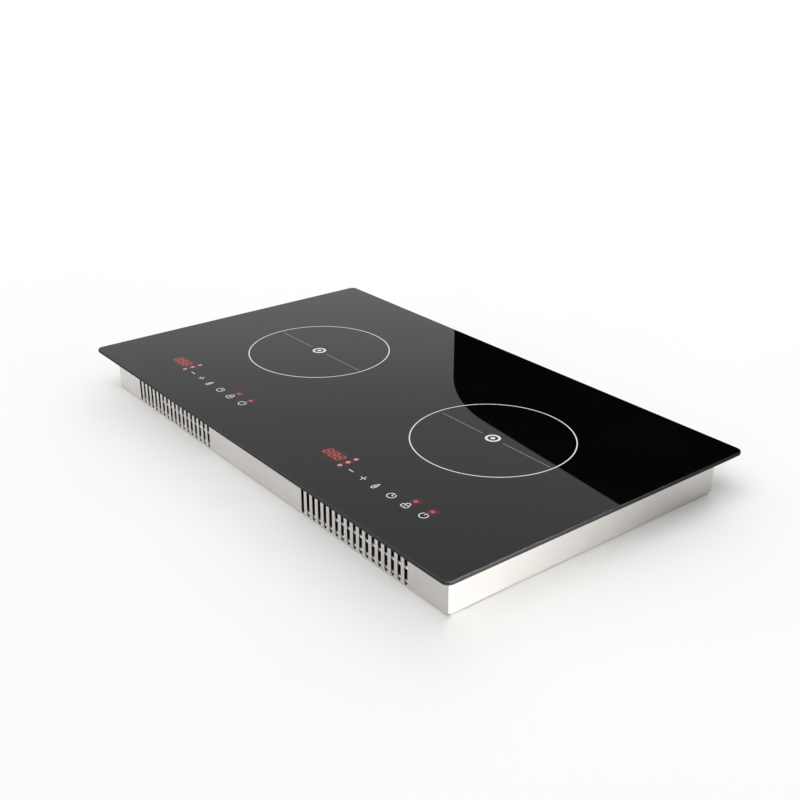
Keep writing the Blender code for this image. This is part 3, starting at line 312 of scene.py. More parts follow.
def blade(angle, inner, outer, middle):
    """A wing section carried along the radius. At radius r the section point (c, t) lies at the angle
    a + (c cos b - t sin b)/r and the height c sin b + t cos b, where the pitch b falls from 48 to 30 degrees."""
    radius = np.linspace(inner, outer, 13)[:, None]
    share = (radius - inner) / (outer - inner)
    phase = np.linspace(0, 2 * np.pi, 25)[None, :]
    chord = (12 + 3 * share) * MM / 2
    along = chord * np.cos(phase)
    thick = 0.65 * MM * np.sin(phase) + 0.9 * MM * (1 - np.cos(phase) ** 2)
    pitch = np.radians(48 - 18 * share)
    turn = angle - 0.35 * share + (along * np.cos(pitch) - thick * np.sin(pitch)) / radius
    height = middle + along * np.sin(pitch) + thick * np.cos(pitch)
    grid = np.stack([radius * np.cos(turn), radius * np.sin(turn), height], axis=-1)
    return grid, np.stack(np.broadcast_arrays(radius, phase / (2 * np.pi)), axis=-1), True


# Nylon 66 with glass fibre: near black, matt, with a moulded texture 0.4 mm across.
nylon, place = blank("black_glass_filled_nylon")
texture = add(nylon, "TexNoise", {"Scale": 2200.0, "Detail": 3.0}, {"Vector": place})
fibre = add(nylon, "TexNoise", {"Scale": 90.0, "Detail": 4.0, "Distortion": 0.6}, {"Vector": place})
surface(nylon, {"IOR": 1.53}, (fibre.outputs["Fac"], "#161616", "#242423"), (fibre.outputs["Fac"], 0.42, 0.6),
        (texture.outputs["Fac"], 0.25, 0.1 * MM))
coat(nylon, "fan_frame_left", "fan_frame_right", "board_carrier_left", "board_carrier_right",
     "touch_carrier_left", "touch_carrier_right")
blade_count, blade_tip, blade_root = 7, 36.5 * MM, MM
hub, hub_round, dish, dish_deep = 15 * MM, 2 * MM, 6 * MM, 0.6 * MM
shaft, shaft_reach = 1.5 * MM, 3 * MM
for side in ("left", "right"):
    low, high = (np.array(corner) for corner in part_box("fan_rotor_" + side))
    axle = (low + high) / 2 * (1, 1, 0)
    hub_low, hub_high = low[2], high[2] - shaft_reach
    rounding = np.radians(np.linspace(0, 90, 6))
    edge = np.stack([hub - hub_round + hub_round * np.sin(rounding),
                     hub_low + hub_round - hub_round * np.cos(rounding)], axis=-1)
    cup = np.vstack([[(0, hub_low + dish_deep), (dish, hub_low + dish_deep), (dish + 0.4 * MM, hub_low)], edge,
                     [(hub, hub_high), (shaft, hub_high), (shaft, high[2]), (0, high[2])]])
    tip = min((high - low)[0] / 2, blade_tip)
    blades = [blade(2 * np.pi * i / blade_count, hub - blade_root, tip, (hub_low + hub_high) / 2)
              for i in range(blade_count)]
    blades = [(grid + axle, uv, capped) for grid, uv, capped in blades]
    lay([turned(cup, axle, 48)] + blades, "fan_rotor_blades_" + side, nylon, side + "_rotor",
        ("fan_rotor_" + side,))


# Power boards: glass-epoxy circuit boards with a transformer, a relay and a socket soldered on, each on a
# black plastic carrier. Small surface-mounted parts stand in rows; the two hot packages lean on the heat sink.

def rounded_box(low, high, radius, steps=3):
    """A box with round edges. The point for the unit direction n is centre + sign(n) (half - radius) + radius n;
    latitudes and longitudes are doubled where a sign changes, so that the flat faces lie between them."""
    low, high = np.array(low, float), np.array(high, float)
    half = (high - low) / 2 - radius
    quarter = np.linspace(0, np.pi / 2, steps + 1)
    turn = np.concatenate([quarter + np.pi / 2 * i for i in range(4)] + [[2 * np.pi]])
    turn_side = np.concatenate([np.full(steps + 1, np.pi / 4 + np.pi / 2 * i) for i in range(4)] + [[np.pi / 4]])
    rise = np.concatenate([quarter - np.pi / 2, quarter])[:, None]
    level = np.concatenate([np.full(steps + 1, -1.0), np.full(steps + 1, 1.0)])[:, None]
    normal = np.stack(np.broadcast_arrays(np.cos(rise) * np.cos(turn), np.cos(rise) * np.sin(turn), np.sin(rise)),
                      axis=-1)
    sign = np.stack(np.broadcast_arrays(np.sign(np.cos(turn_side)), np.sign(np.sin(turn_side)), level), axis=-1)
    grid = (low + high) / 2 + sign * half + radius * normal
    uv = np.stack(np.broadcast_arrays(rise, turn), axis=-1)
    first = grid[::len(rise) - 1][:, ::steps + 1][:, :4]
    ends = [(row[[[0, 1], [3, 2]]], np.zeros((2, 2, 2)), False) for row in first]
    return [(grid, uv, False)] + ends


# Solder mask over glass epoxy: green, glossy, with paler lines where copper tracks run under it. Real tracks
# are 1.2 mm apart; these are 3 mm apart so that they show.
mask, place = blank("green_solder_mask")
tracks = add(mask, "TexBrick", {"Scale": 1.0, "Brick Width": 14 * MM, "Row Height": 3 * MM, "Mortar Size": 0.45 * MM,
                                "Mortar Smooth": 0.1, "Color1": linear("#000000"), "Color2": linear("#000000"),
                                "Mortar": linear("#FFFFFF")}, {"Vector": place})
vias = add(mask, "TexVoronoi", {"Scale": 170.0, "Randomness": 0.55}, {"Vector": place})
tinned = add(mask, "MapRange", {"From Min": 0.17, "From Max": 0.13}, {"Value": vias.outputs["Distance"]})
epoxy = add(mask, "TexNoise", {"Scale": 60.0, "Detail": 3.0}, {"Vector": place})
mask_tone = add(mask, "Mix", {"data_type": "RGBA", 6: linear("#0E4A26"), 7: linear("#14572F")},
                {0: epoxy.outputs["Fac"]})
tracked = add(mask, "Mix", {"data_type": "RGBA", 7: linear("#2F7A4A")},
              {0: tracks.outputs["Color"], 6: mask_tone.outputs[2]})
soldered = add(mask, "Mix", {"data_type": "RGBA", 7: linear("#C9C9C4")},
               {0: tinned.outputs[0], 6: tracked.outputs[2]})
mask_height = add(mask, "Math", {"operation": "ADD"}, {0: tinned.outputs[0], 1: tracks.outputs["Color"]})
mask_bump = add(mask, "Bump", {"Strength": 0.4, "Distance": 0.1 * MM}, {"Height": mask_height.outputs[0]})
mask_rough = add(mask, "MapRange", {"To Min": 0.3, "To Max": 0.22}, {"Value": tinned.outputs[0]})
close(mask, {"IOR": 1.5}, {"Base Color": soldered.outputs[2], "Metallic": tinned.outputs[0],
                           "Roughness": mask_rough.outputs[0], "Normal": mask_bump.outputs[0]})
coat(mask, "power_board_left", "power_board_right", "touch_board_left", "touch_board_right", "filter_board")

# Moulded epoxy of the chips and packages: charcoal, matt, fine grit 0.3 mm across.
epoxy_case, place = blank("moulded_epoxy")
grit = add(epoxy_case, "TexNoise", {"Scale": 3000.0, "Detail": 2.0}, {"Vector": place})
flow = add(epoxy_case, "TexNoise", {"Scale": 120.0, "Detail": 3.0}, {"Vector": place})
surface(epoxy_case, {"IOR": 1.55}, (flow.outputs["Fac"], "#1C1D1F", "#2B2C2E"), (grit.outputs["Fac"], 0.45, 0.62),
        (grit.outputs["Fac"], 0.3, 0.05 * MM))

# Tinned copper legs and terminals: pale, slightly uneven where the solder wetted them.
tinned_copper, place = blank("tinned_copper")
wetting = add(tinned_copper, "TexNoise", {"Scale": 700.0, "Detail": 3.0}, {"Vector": place})
surface(tinned_copper, {"Metallic": 1.0}, (wetting.outputs["Fac"], "#B4B4AE", "#D6D6D1"),
        (wetting.outputs["Fac"], 0.2, 0.4))

board_thick, chip_tall, pin_pitch, pin_half = 1.6 * MM, 0.7 * MM, 1.27 * MM, 0.2 * MM
screw_out, screw_in, screw_high, leg_spread = 3.2 * MM, 1.2 * MM, 5 * MM, 0.7
for side in ("left", "right"):
    low, high = (np.array(corner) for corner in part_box("power_board_" + side))
    board_top = low[2] + board_thick
    middle = (low + high) / 2
    columns, rows = (places.ravel() for places in np.meshgrid(np.arange(5), np.arange(4), indexing="ij"))
    spots = np.stack([middle[0] + (2 + 6.5 * columns) * MM, high[1] - (22 + 5 * rows) * MM], axis=-1)
    halves = np.where((columns + 2 * rows)[:, None] % 3, (1.6, 0.8), (1.0, 0.6)) * MM
    chips = [rounded_box((*(spot - half), board_top - 0.05 * MM), (*(spot + half), board_top + chip_tall),
                         0.15 * MM, 1) for spot, half in zip(spots, halves)]
    driver = rounded_box((middle[0] + 8 * MM, low[1] + 24 * MM, board_top + 0.1 * MM),
                         (middle[0] + 18 * MM, low[1] + 30 * MM, board_top + 1.9 * MM), 0.3 * MM, 2)
    lay(sum(chips, []) + driver, "board_chips_" + side, epoxy_case, "casing")
    pins = np.arange(8) * pin_pitch + middle[0] + 8.5 * MM
    feet = [rounded_box((x - pin_half, low[1] + 22.6 * MM, board_top - 0.02 * MM),
                        (x + pin_half, low[1] + 31.4 * MM, board_top + 0.5 * MM), 0.1 * MM, 1) for x in pins]
    lay(sum(feet, []), "driver_pins_" + side, tinned_copper, "casing")
    for part, legs, leg_long in (("power_transistor_", 3, 4 * MM), ("bridge_rectifier_", 4, 7 * MM)):
        low, high = (np.array(corner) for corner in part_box(part + side))
        body_low = low[2] + leg_long
        case = rounded_box((low[0], low[1], body_low), high, 0.5 * MM)
        middle = (low + high) / 2
        head, socket = high[0] + 0.3 * MM, high[0] - 0.4 * MM
        button = [(0, low[0]), (screw_out, low[0]), (screw_out, head), (screw_in, head), (screw_in, socket),
                  (0, socket)]
        spun, uv, _ = turned(button, (0, 0, 0), 20)
        spun = spun[..., [2, 0, 1]] + (0, middle[1], high[2] - screw_high)
        lay(case, part + "case_" + side, epoxy_case, "casing", (part + side,))
        spread = (high[1] - low[1]) * leg_spread
        tops = [middle[1] + spread * (i / (legs - 1) - 0.5) for i in range(legs)]
        posts = [rounded_box((middle[0] - 0.3 * MM, y - 0.6 * MM, low[2]),
                             (middle[0] + 0.3 * MM, y + 0.6 * MM, body_low + MM), 0.1 * MM, 1) for y in tops]
        lay(sum(posts, []) + [(spun, uv, False)], part + "legs_and_screw_" + side, tinned_copper, "casing")


# Heat sinks and coil plates: aluminium, the sinks extruded with nine fins, the plates rolled and folded.
# The extrusion lines run from the fan towards the front, along the air. Real lines are 0.1 mm apart; these are
# 0.7 mm apart so that they show.

mill, place = blank("mill_finish_aluminium")
drawn = add(mill, "Mapping", {"Scale": (1500, 12, 900)}, {"Vector": place})
lines = add(mill, "TexNoise", {"Scale": 1.0, "Detail": 3.0}, {"Vector": drawn.outputs[0]})
surface(mill, {"Metallic": 1.0}, (lines.outputs["Fac"], "#C9CBCD", "#E6E8EA"), (lines.outputs["Fac"], 0.28, 0.46),
        (lines.outputs["Fac"], 0.2, 0.05 * MM))
coat(mill, "heat_sink_left", "heat_sink_right", "coil_plate_left", "coil_plate_right")


# Film capacitors: foil rolls cast in flame-proof plastic boxes, open below where clear resin closes them.
# Ochre polyester, smooth, with a raised panel on the top and a lip round the foot.

cast, place = blank("ochre_polyester_case")
swirl = add(cast, "TexNoise", {"Scale": 45.0, "Detail": 4.0, "Distortion": 1.0}, {"Vector": place})
pores = add(cast, "TexNoise", {"Scale": 2600.0, "Detail": 2.0}, {"Vector": place})
surface(cast, {"IOR": 1.56}, (swirl.outputs["Fac"], "#C2A326", "#D3B63A"), (swirl.outputs["Fac"], 0.3, 0.42),
        (pores.outputs["Fac"], 0.15, 0.05 * MM))
inset, lip, foot_tall = np.array((1.5, 1.5, 0)) * MM, 0.5 * MM, 3 * MM
for name in ("resonant_capacitor_left", "resonant_capacitor_right", "filter_capacitor"):
    low, high = (np.array(corner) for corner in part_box(name))
    foot = rounded_box(low, (high[0], high[1], low[2] + foot_tall), 0.4 * MM)
    box = rounded_box(low + (lip, lip, 2.6 * MM), high - (lip, lip, 0.4 * MM), 1.2 * MM)
    lid = rounded_box((*(low + inset)[:2], high[2] - 2 * MM), high - inset, 0.35 * MM)
    lay(foot + box + lid, name + "_case", cast, "casing", (name,))


# Mains side: a cable gland screwed through the rear wall, a terminal block, and a filter board with a choke.
# The gland is nylon, its dome ribbed for the fingers; no mains lead is fitted.

def gland_wall(centre, wall_y, tip_y, flange, thread, bore):
    """The gland's outside and bore as one closed surface round Y. At angle a the outside radius is the hexagon's
    flange cos 30 / cos(a mod 60 - 30) by the wall, then the dome's thread (1 - 0.05 |cos 9a|^3) towards the tip."""
    angle = np.linspace(0, 2 * np.pi, 145)
    hexagon = flange * np.cos(np.pi / 6) / np.cos((angle % (np.pi / 3)) - np.pi / 6)
    dome = thread * (1 - 0.05 * np.abs(np.cos(9 * angle)) ** 3)
    smooth = np.full_like(angle, 1.0)
    inner_y = centre[1]
    rows = [(smooth * bore, inner_y), (smooth * thread * 0.94, inner_y), (smooth * thread, inner_y + 0.5 * MM),
            (smooth * thread, wall_y), (hexagon - 0.4 * MM, wall_y), (hexagon, wall_y + 0.4 * MM),
            (hexagon, wall_y + 6.0 * MM), (np.minimum(hexagon, thread + 1.6 * MM), wall_y + 6.7 * MM),
            (dome, wall_y + 6.9 * MM)]
    tip_round, tip_narrowing = 3.2 * MM, 0.28
    ease = np.radians(np.linspace(0, 90, 7))
    rows += [(dome * (1 - tip_narrowing * (1 - np.cos(e))), tip_y - tip_round + tip_round * np.sin(e)) for e in ease]
    rows += [(smooth * bore, tip_y), (smooth * bore, inner_y)]
    radius = np.stack([row[0] for row in rows])
    height = np.stack([np.full_like(angle, row[1]) for row in rows])
    grid = np.stack([centre[0] + radius * np.cos(angle), height, centre[2] + radius * np.sin(angle)], axis=-1)
    return grid, np.stack(np.broadcast_arrays(height, angle / (2 * np.pi)), axis=-1), False


low, high = (np.array(corner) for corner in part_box("cable_gland"))
gland_centre = np.array(((low + high)[0] / 2, low[1], (low + high)[2] / 2))
flange, thread, bore = 11 * MM, 8 * MM, 4.5 * MM
wall_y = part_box("base_tray")[1][1]
gland = gland_wall(gland_centre, wall_y + 0.3 * MM, high[1], flange, thread, bore)
lay([gland], "cable_gland_body", nylon, "casing", ("cable_gland",))
coat(nylon, "gland_nut")

# Terminal block: white flame-proof polyamide, faintly uneven, with plated screws sunk in its wells.
polyamide, place = blank("white_polyamide")
chalk = add(polyamide, "TexNoise", {"Scale": 70.0, "Detail": 3.0}, {"Vector": place})
fine = add(polyamide, "TexNoise", {"Scale": 2500.0, "Detail": 2.0}, {"Vector": place})
surface(polyamide, {"IOR": 1.53, "Subsurface Weight": 0.08, "Subsurface Radius": (0.6 * MM, 0.5 * MM, 0.4 * MM)},
        (chalk.outputs["Fac"], "#E2E0D8", "#EFEDE6"), (chalk.outputs["Fac"], 0.36, 0.5),
        (fine.outputs["Fac"], 0.2, 0.06 * MM))
coat(polyamide, "terminal_block", "coil_former_left", "coil_former_right")


def recessed_head(radius, height, slot_width, slot_depth, cross):
    """A round screw head over the origin. Its height at radius r is the dome h (1 - 0.35 (r/R)^2), eased down by
    up to h/4 over the outer tenth, less the slot's depth where |y| (and for a cross |x|) is under half the slot's
    width. A cross stops at 0.62 R. The foot closes at 0."""
    share = np.concatenate([np.linspace(0, 0.9, 28), [0.94, 0.97, 1.0]])[:, None]
    angle = np.linspace(0, 2 * np.pi, 97)[None, :]
    x, y = radius * share * np.cos(angle), radius * share * np.sin(angle)
    in_slot = (np.abs(y) < slot_width / 2) | (cross & (np.abs(x) < slot_width / 2))
    in_slot = in_slot & (share < (0.62 if cross else 1.1))
    rim = np.where(share > 0.9, ((share - 0.9) / 0.1) ** 2 * 0.25 * height, 0)
    z = height * (1 - 0.35 * share ** 2) - rim - in_slot * slot_depth
    top = np.stack(np.broadcast_arrays(x, y, z), axis=-1)
    foot = np.stack([x[-1], y[-1], np.zeros(97)], axis=-1)[None]
    grid = np.concatenate([top, foot, foot * 0])
    return grid, grid[..., :2], False


# Zinc-plated steel screws: bright, blue-white, finely speckled.
plated, place = blank("zinc_plated_steel")
speck = add(plated, "TexNoise", {"Scale": 1500.0, "Detail": 3.0}, {"Vector": place})
surface(plated, {"Metallic": 1.0}, (speck.outputs["Fac"], "#BFC4C8", "#DDE1E4"), (speck.outputs["Fac"], 0.2, 0.36))
low, high = (np.array(corner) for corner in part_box("terminal_block"))
way_pitch, well_deep = 12 * MM, 4 * MM
grid, uv, _ = recessed_head(2.7 * MM, 2.4 * MM, 0.9 * MM, 1.2 * MM, False)
first_well = np.array(((low[0] + high[0]) / 2, (low[1] + high[1]) / 2, high[2] - well_deep))
heads = [(grid + first_well + (way_pitch * way, 0, 0), uv, False) for way in (-2, -1, 0, 1, 2)]
lay(heads, "terminal_screws", plated, "casing")

# Frame screws: pan heads with a cross recess, in a row along the rear wall.
head_tall, shank_radius, point_radius, point_long = 2.2 * MM, 1.8 * MM, 1.3 * MM, 1.2 * MM
for number in (1, 2, 3):
    low, high = (np.array(corner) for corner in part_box("frame_screw_%d" % number))
    middle = (low + high) / 2
    grid, uv, _ = recessed_head(3.6 * MM, head_tall, 0.9 * MM, 1.3 * MM, True)
    seat = high[1] - head_tall
    head = grid[..., [0, 2, 1]] + (middle[0], seat, middle[2])
    outline = [(0, low[1]), (point_radius, low[1]), (shank_radius, low[1] + point_long), (shank_radius, seat),
               (0, seat)]
    shank, shank_uv, _ = turned(outline, (middle[0], 0, middle[2]), 24, "Y")
    lay([(head, uv, False), (shank, shank_uv, False)], "frame_screw_head_%d" % number, plated, "casing",
        ("frame_screw_%d" % number,))


# Coils: enamelled copper litz wound flat, fifteen turns from the hub to the rim, between a nylon former and
# a mica disc. Four ferrite bars lie under the former and a silicone-cased heat sensor stands in the hub.

def carried(path, section, up, closed=False):
    """A closed section carried along a path: point(i, j) = path_i + a_j side_i + b_j over_i, where side is
    up x tangent and over is tangent x side, both of unit length.
    The UV is metres along the path and turns round it."""
    path, section = np.asarray(path, float), np.asarray(section, float)
    if closed:
        ring = np.vstack([path[-2], path, path[1]])
        tangent = ring[2:] - ring[:-2]
    else:
        tangent = np.gradient(path, axis=0)
    tangent = tangent / np.linalg.norm(tangent, axis=1, keepdims=True)
    side = np.cross(np.broadcast_to(up, path.shape), tangent)
    side = side / np.linalg.norm(side, axis=1, keepdims=True)
    over = np.cross(tangent, side)
    grid = (path[:, None] + section[None, :, :1] * side[:, None] + section[None, :, 1:] * over[:, None])
    length = np.concatenate([[0], np.cumsum(np.linalg.norm(np.diff(path, axis=0), axis=1))])
    uv = np.stack(np.broadcast_arrays(length[:, None], np.linspace(0, 1, len(section))[None, :]), axis=-1)
    return grid, uv, not closed


# Litz wire: copper strands in clear enamel, laid six to the turn. Six ridges wind round it every 14 mm.
litz, place = blank("enamelled_litz_copper")
worn = add(litz, "TexNoise", {"Scale": 300.0, "Detail": 2.0}, {"Vector": place})
strip = add(litz, "TexCoord")
strip_axis = add(litz, "SeparateXYZ", None, {"Vector": strip.outputs["UV"]})
lay_length = add(litz, "Math", {"operation": "MULTIPLY", 1: 2 * np.pi / (14 * MM)}, {0: strip_axis.outputs["X"]})
lay_turn = add(litz, "Math", {"operation": "MULTIPLY_ADD", 1: 12 * np.pi},
               {0: strip_axis.outputs["Y"], 2: lay_length.outputs[0]})
strand = add(litz, "Math", {"operation": "SINE"}, {0: lay_turn.outputs[0]})
ridge = add(litz, "MapRange", {"From Min": -1.0, "From Max": 1.0}, {"Value": strand.outputs[0]})
# Painted shade: the colour follows the ridges, dark in the grooves between strands and copper-bright on their
# crests.
copper_with_painted_groove_shade = add(litz, "Mix", {"data_type": "RGBA", 6: linear("#7E3F1E"), 7: linear("#D98450")},
                  {0: ridge.outputs[0]})
copper_worn = add(litz, "Mix", {"data_type": "RGBA", "blend_type": "MULTIPLY", 7: linear("#C9B9A8")},
                  {0: worn.outputs["Fac"], 6: copper_with_painted_groove_shade.outputs[2]})
copper_bump = add(litz, "Bump", {"Strength": 0.7, "Distance": 0.25 * MM}, {"Height": ridge.outputs[0]})
copper_rough = add(litz, "MapRange", {"To Min": 0.26, "To Max": 0.42}, {"Value": worn.outputs["Fac"]})
close(litz, {"Metallic": 0.85, "Coat Weight": 0.6, "Coat Roughness": 0.15},
      {"Base Color": copper_worn.outputs[2], "Roughness": copper_rough.outputs[0], "Normal": copper_bump.outputs[0]})

# Mica: pressed flakes of a warm pale brown, pearly, each 4 mm or so across.
mica, place = blank("pressed_mica")
flakes = add(mica, "TexVoronoi", {"Scale": 240.0}, {"Vector": place})
flake = add(mica, "SeparateColor", None, {"Color": flakes.outputs["Color"]})
surface(mica, {"IOR": 1.58, "Sheen Weight": 0.2}, (flake.outputs[0], "#C0B092", "#D6C9AE"),
        (flake.outputs[1], 0.3, 0.55))
coat(mica, "mica_disc_left", "mica_disc_right")

# Sintered ferrite: grey-black ceramic, gritty, with a dull shine.
ferrite, place = blank("sintered_ferrite")
sinter = add(ferrite, "TexNoise", {"Scale": 1400.0, "Detail": 4.0}, {"Vector": place})
surface(ferrite, {"IOR": 2.3}, (sinter.outputs["Fac"], "#2A2B2E", "#4A4B4E"), (sinter.outputs["Fac"], 0.4, 0.65),
        (sinter.outputs["Fac"], 0.35, 0.1 * MM))
coat(ferrite, *["ferrite_bar_%s_%d" % (side, number) for side in ("left", "right") for number in (1, 2, 3, 4)])

# Grey silicone rubber of the sensors and of the bonding bead: soft, satin, slightly dusty.
silicone, place = blank("grey_silicone_rubber")
dust = add(silicone, "TexNoise", {"Scale": 400.0, "Detail": 5.0}, {"Vector": place})
surface(silicone, {"IOR": 1.41}, (dust.outputs["Fac"], "#77787A", "#919294"), (dust.outputs["Fac"], 0.42, 0.6),
        (dust.outputs["Fac"], 0.2, 0.15 * MM))
coat(silicone, "heat_sensor_left", "heat_sensor_right", "silicone_bead")
inner, turns, steps, lead_radius = 25 * MM, 15, 64, 2 * MM
for side in ("left", "right"):
    low, high = (np.array(corner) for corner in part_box("coil_winding_" + side))
    centre, rim = (low + high) / 2, (high - low)[0] / 2
    half_wide = (rim - inner) / (turns + 1) / 2 * 0.97
    share = np.linspace(0, 1, turns * steps + 1)
    radius = inner + half_wide + share * (rim - inner - 2 * half_wide)
    angle = -2 * np.pi * turns * share + np.radians(254)
    spiral = centre + np.stack([radius * np.cos(angle), radius * np.sin(angle), angle * 0], axis=-1)
    round_it = np.linspace(0, 2 * np.pi, 13)
    oval = np.stack([half_wide * np.cos(round_it), (high - low)[2] / 2 * np.sin(round_it)], axis=-1)
    lay([carried(spiral, oval, (0, 0, 1))], "coil_spiral_" + side, litz, "casing",
        ("coil_winding_" + side,))

    # The lead leaves the rim, runs along it, drops through the plate's hole and ends on the power board.
    # Its route is straight between knots, then each point becomes the weighted mean of the eleven round it.
    low, high = (np.array(corner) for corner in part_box("coil_lead_" + side))
    knots = np.array([(-24, -83.2, 48.4), (-8, -87.3, 48.4), (9, -91.5, 46.4), (16.5, -92, 43.5), (18, -92, 38),
                      (18, -91.4, 30), (18, -90.8, 20), (18, -90, 10)]) * MM
    points, window = 61, np.hanning(11)
    step = np.linspace(0, len(knots) - 1, points)
    straight = np.stack([np.interp(step, np.arange(len(knots)), knots[:, i]) for i in range(3)], axis=-1)
    padded = np.vstack([np.repeat(straight[:1], 5, 0), straight, np.repeat(straight[-1:], 5, 0)])
    route = np.sum([padded[i:i + points] * weight for i, weight in enumerate(window / window.sum())], axis=0)
    route = route + (0, 0, low[2] - route[-1, 2]) + centre * (1, 1, 0)
    circle = lead_radius * np.stack([np.cos(round_it), np.sin(round_it)], axis=-1)
    lay([carried(route, circle, (1, 0.3, 0.1))], "coil_lead_wire_" + side, litz, "casing", ("coil_lead_" + side,))

# Filter choke: a coated iron-powder ring with fourteen turns of the same wire, in two banks with a gap between.
low, high = (np.array(corner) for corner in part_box("filter_choke"))
centre, outer, tall = (low + high) / 2, (high - low)[0] / 2, (high - low)[2] / 2
wire, hole, wraps = 0.75 * MM, 6 * MM, 7
core_inner, core_outer, core_tall = hole + 2 * wire, outer - 2 * wire, tall - 2 * wire
quarter = np.radians(np.linspace(0, 90, 5))
round_corner = MM * np.stack([np.cos(quarter), np.sin(quarter)], axis=-1)
ring = np.array((core_outer - MM, core_tall - MM)) + round_corner
ring = np.vstack([ring, [(core_inner + MM, core_tall - MM)] + round_corner[::-1] * (-1, 1)])
ring = np.vstack([ring, ring[::-1] * (1, -1), ring[:1]])
powder, place = blank("coated_iron_powder")
coating = add(powder, "TexNoise", {"Scale": 500.0, "Detail": 4.0}, {"Vector": place})
surface(powder, {"IOR": 1.5}, (coating.outputs["Fac"], "#D9C437", "#E8D65A"), (coating.outputs["Fac"], 0.35, 0.5),
        (coating.outputs["Fac"], 0.3, 0.1 * MM))
lay([turned(ring, centre, 48)], "choke_core", powder, "casing")


def squared(value):
    """A sine or cosine pulled out towards a square: its size to the power 0.45, with its sign kept."""
    return np.sign(value) * np.abs(value) ** 0.45


banks = []
for start in np.radians((20, 200)):
    run = np.linspace(0, 1, wraps * 24 + 1)
    wrap, round_ring = 2 * np.pi * wraps * run, start + np.radians(140) * run
    half_deep = (core_outer - core_inner) / 2 + wire
    radius = (core_outer + core_inner) / 2 + half_deep * squared(np.cos(wrap))
    height = (core_tall + wire) * squared(np.sin(wrap))
    path = centre + np.stack([radius * np.cos(round_ring), radius * np.sin(round_ring), height], axis=-1)
    tangent_of_ring = np.stack([-np.sin(round_ring), np.cos(round_ring), round_ring * 0], axis=-1)
    circle = np.linspace(0, 2 * np.pi, 9)
    banks.append(carried(path, wire * np.stack([np.cos(circle), np.sin(circle)], axis=-1), tangent_of_ring))
lay(banks, "choke_turns", litz, "casing", ("filter_choke",))


# Touch controls: a circuit board under the glass with spring pads, and a three-digit display beside them.
# A grey ribbon cable of twelve ways drops from the board's back edge to the power board.

filter_red, place = blank("red_acrylic_filter")
haze = add(filter_red, "TexNoise", {"Scale": 800.0, "Detail": 2.0}, {"Vector": place})
surface(filter_red, {"IOR": 1.49, "Transmission Weight": 0.15}, (haze.outputs["Fac"], "#3A0708", "#4A0B0C"),
        (haze.outputs["Fac"], 0.12, 0.22))
coat(filter_red, "digit_display_left", "digit_display_right")

# Ribbon cable: PVC over twelve wires 1.27 mm apart, so the skin ripples across its width.
pvc, place = blank("grey_ribbon_pvc")
pvc_axis, wire_pitch = add(pvc, "SeparateXYZ", None, {"Vector": place}), 1.27 * MM
pvc_phase = add(pvc, "Math", {"operation": "MULTIPLY", 1: 2 * np.pi / wire_pitch}, {0: pvc_axis.outputs["X"]})
pvc_wave = add(pvc, "Math", {"operation": "SINE"}, {0: pvc_phase.outputs[0]})
pvc_ridge = add(pvc, "MapRange", {"From Min": -1.0, "From Max": 1.0}, {"Value": pvc_wave.outputs[0]})
# Painted shade: the grey is darker in the grooves between the wires and paler on the crests of the ripples.
surface(pvc, {"IOR": 1.53}, (pvc_ridge.outputs[0], "#7B7C7F", "#A3A4A7"), (pvc_ridge.outputs[0], 0.5, 0.38),
        (pvc_ridge.outputs[0], 0.6, 0.3 * MM))
coat(pvc, "ribbon_cable_left", "ribbon_cable_right")


# Foam seal: black closed-cell EPDM foam, 10 mm wide, stuck under the glass's edge to sit on the worktop.
# Its cells are 0.8 mm across and show as tiny pits, their colour painted darker at the bottom of each pit as painted
# shade.

foam, place = blank("epdm_foam")
cells = add(foam, "TexVoronoi", {"Scale": 1250.0}, {"Vector": place})
uneven = add(foam, "TexNoise", {"Scale": 60.0, "Detail": 2.0}, {"Vector": place})
surface(foam, {"IOR": 1.5}, (cells.outputs["Distance"], "#101010", "#242424"), (uneven.outputs["Fac"], 0.8, 0.95),
        (cells.outputs["Distance"], 0.7, 0.3 * MM))
coat(foam, "foam_seal")


# Glass plate: 4 mm black glass-ceramic, fire-polished on top, its edge ground and its upper rim bevelled.
# Light from the display and the lamps under it spreads a little in the glass and reddens it round them.

plate_low, plate_high = (np.array(corner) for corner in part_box("glass_plate"))
front_y, glass_top = plate_low[1], plate_high[2]
zone_x, zone_y, display_x = 172.0, 17.5, -76.8
key_places = (-34.3, -12.5, 9.0, 35.2, 60.2, 86.8)
lamp_places, lamps_back, display_back, keys_back, dots_x = key_places[4:], 72.2, 68.5, 60.5, -52.2
glass, place = blank("black_glass_ceramic")
facing = add(glass, "NewGeometry")
upward = add(glass, "SeparateXYZ", None, {"Vector": facing.outputs["True Normal"]})
ground = add(glass, "MapRange", {"From Min": 0.97, "From Max": 0.6}, {"Value": upward.outputs["Z"]})
grains = add(glass, "TexNoise", {"Scale": 900.0, "Detail": 3.0}, {"Vector": place})
depth = add(glass, "TexNoise", {"Scale": 14.0, "Detail": 2.0}, {"Vector": place})
body_tone = add(glass, "Mix", {"data_type": "RGBA", 6: linear("#040404"), 7: linear("#070707")},
                {0: depth.outputs["Fac"]})
edge_tone = add(glass, "Mix", {"data_type": "RGBA", 6: linear("#0A0A0B"), 7: linear("#121213")},
                {0: grains.outputs["Fac"]})
glass_tone = add(glass, "Mix", {"data_type": "RGBA"}, {0: ground.outputs[0], 6: body_tone.outputs[2],
                                                       7: edge_tone.outputs[2]})
glass_rough = add(glass, "MapRange", {"To Min": 0.012, "To Max": 0.95}, {"Value": ground.outputs[0]})
glass_axis = add(glass, "SeparateXYZ", None, {"Vector": place})
which = add(glass, "Math", {"operation": "SIGN"}, {0: glass_axis.outputs["X"]})
local_x = add(glass, "Math", {"operation": "MULTIPLY_ADD", 1: -zone_x * MM},
              {0: which.outputs[0], 2: glass_axis.outputs["X"]})
local = add(glass, "CombineXYZ", None, {"X": local_x.outputs[0], "Y": glass_axis.outputs["Y"]})


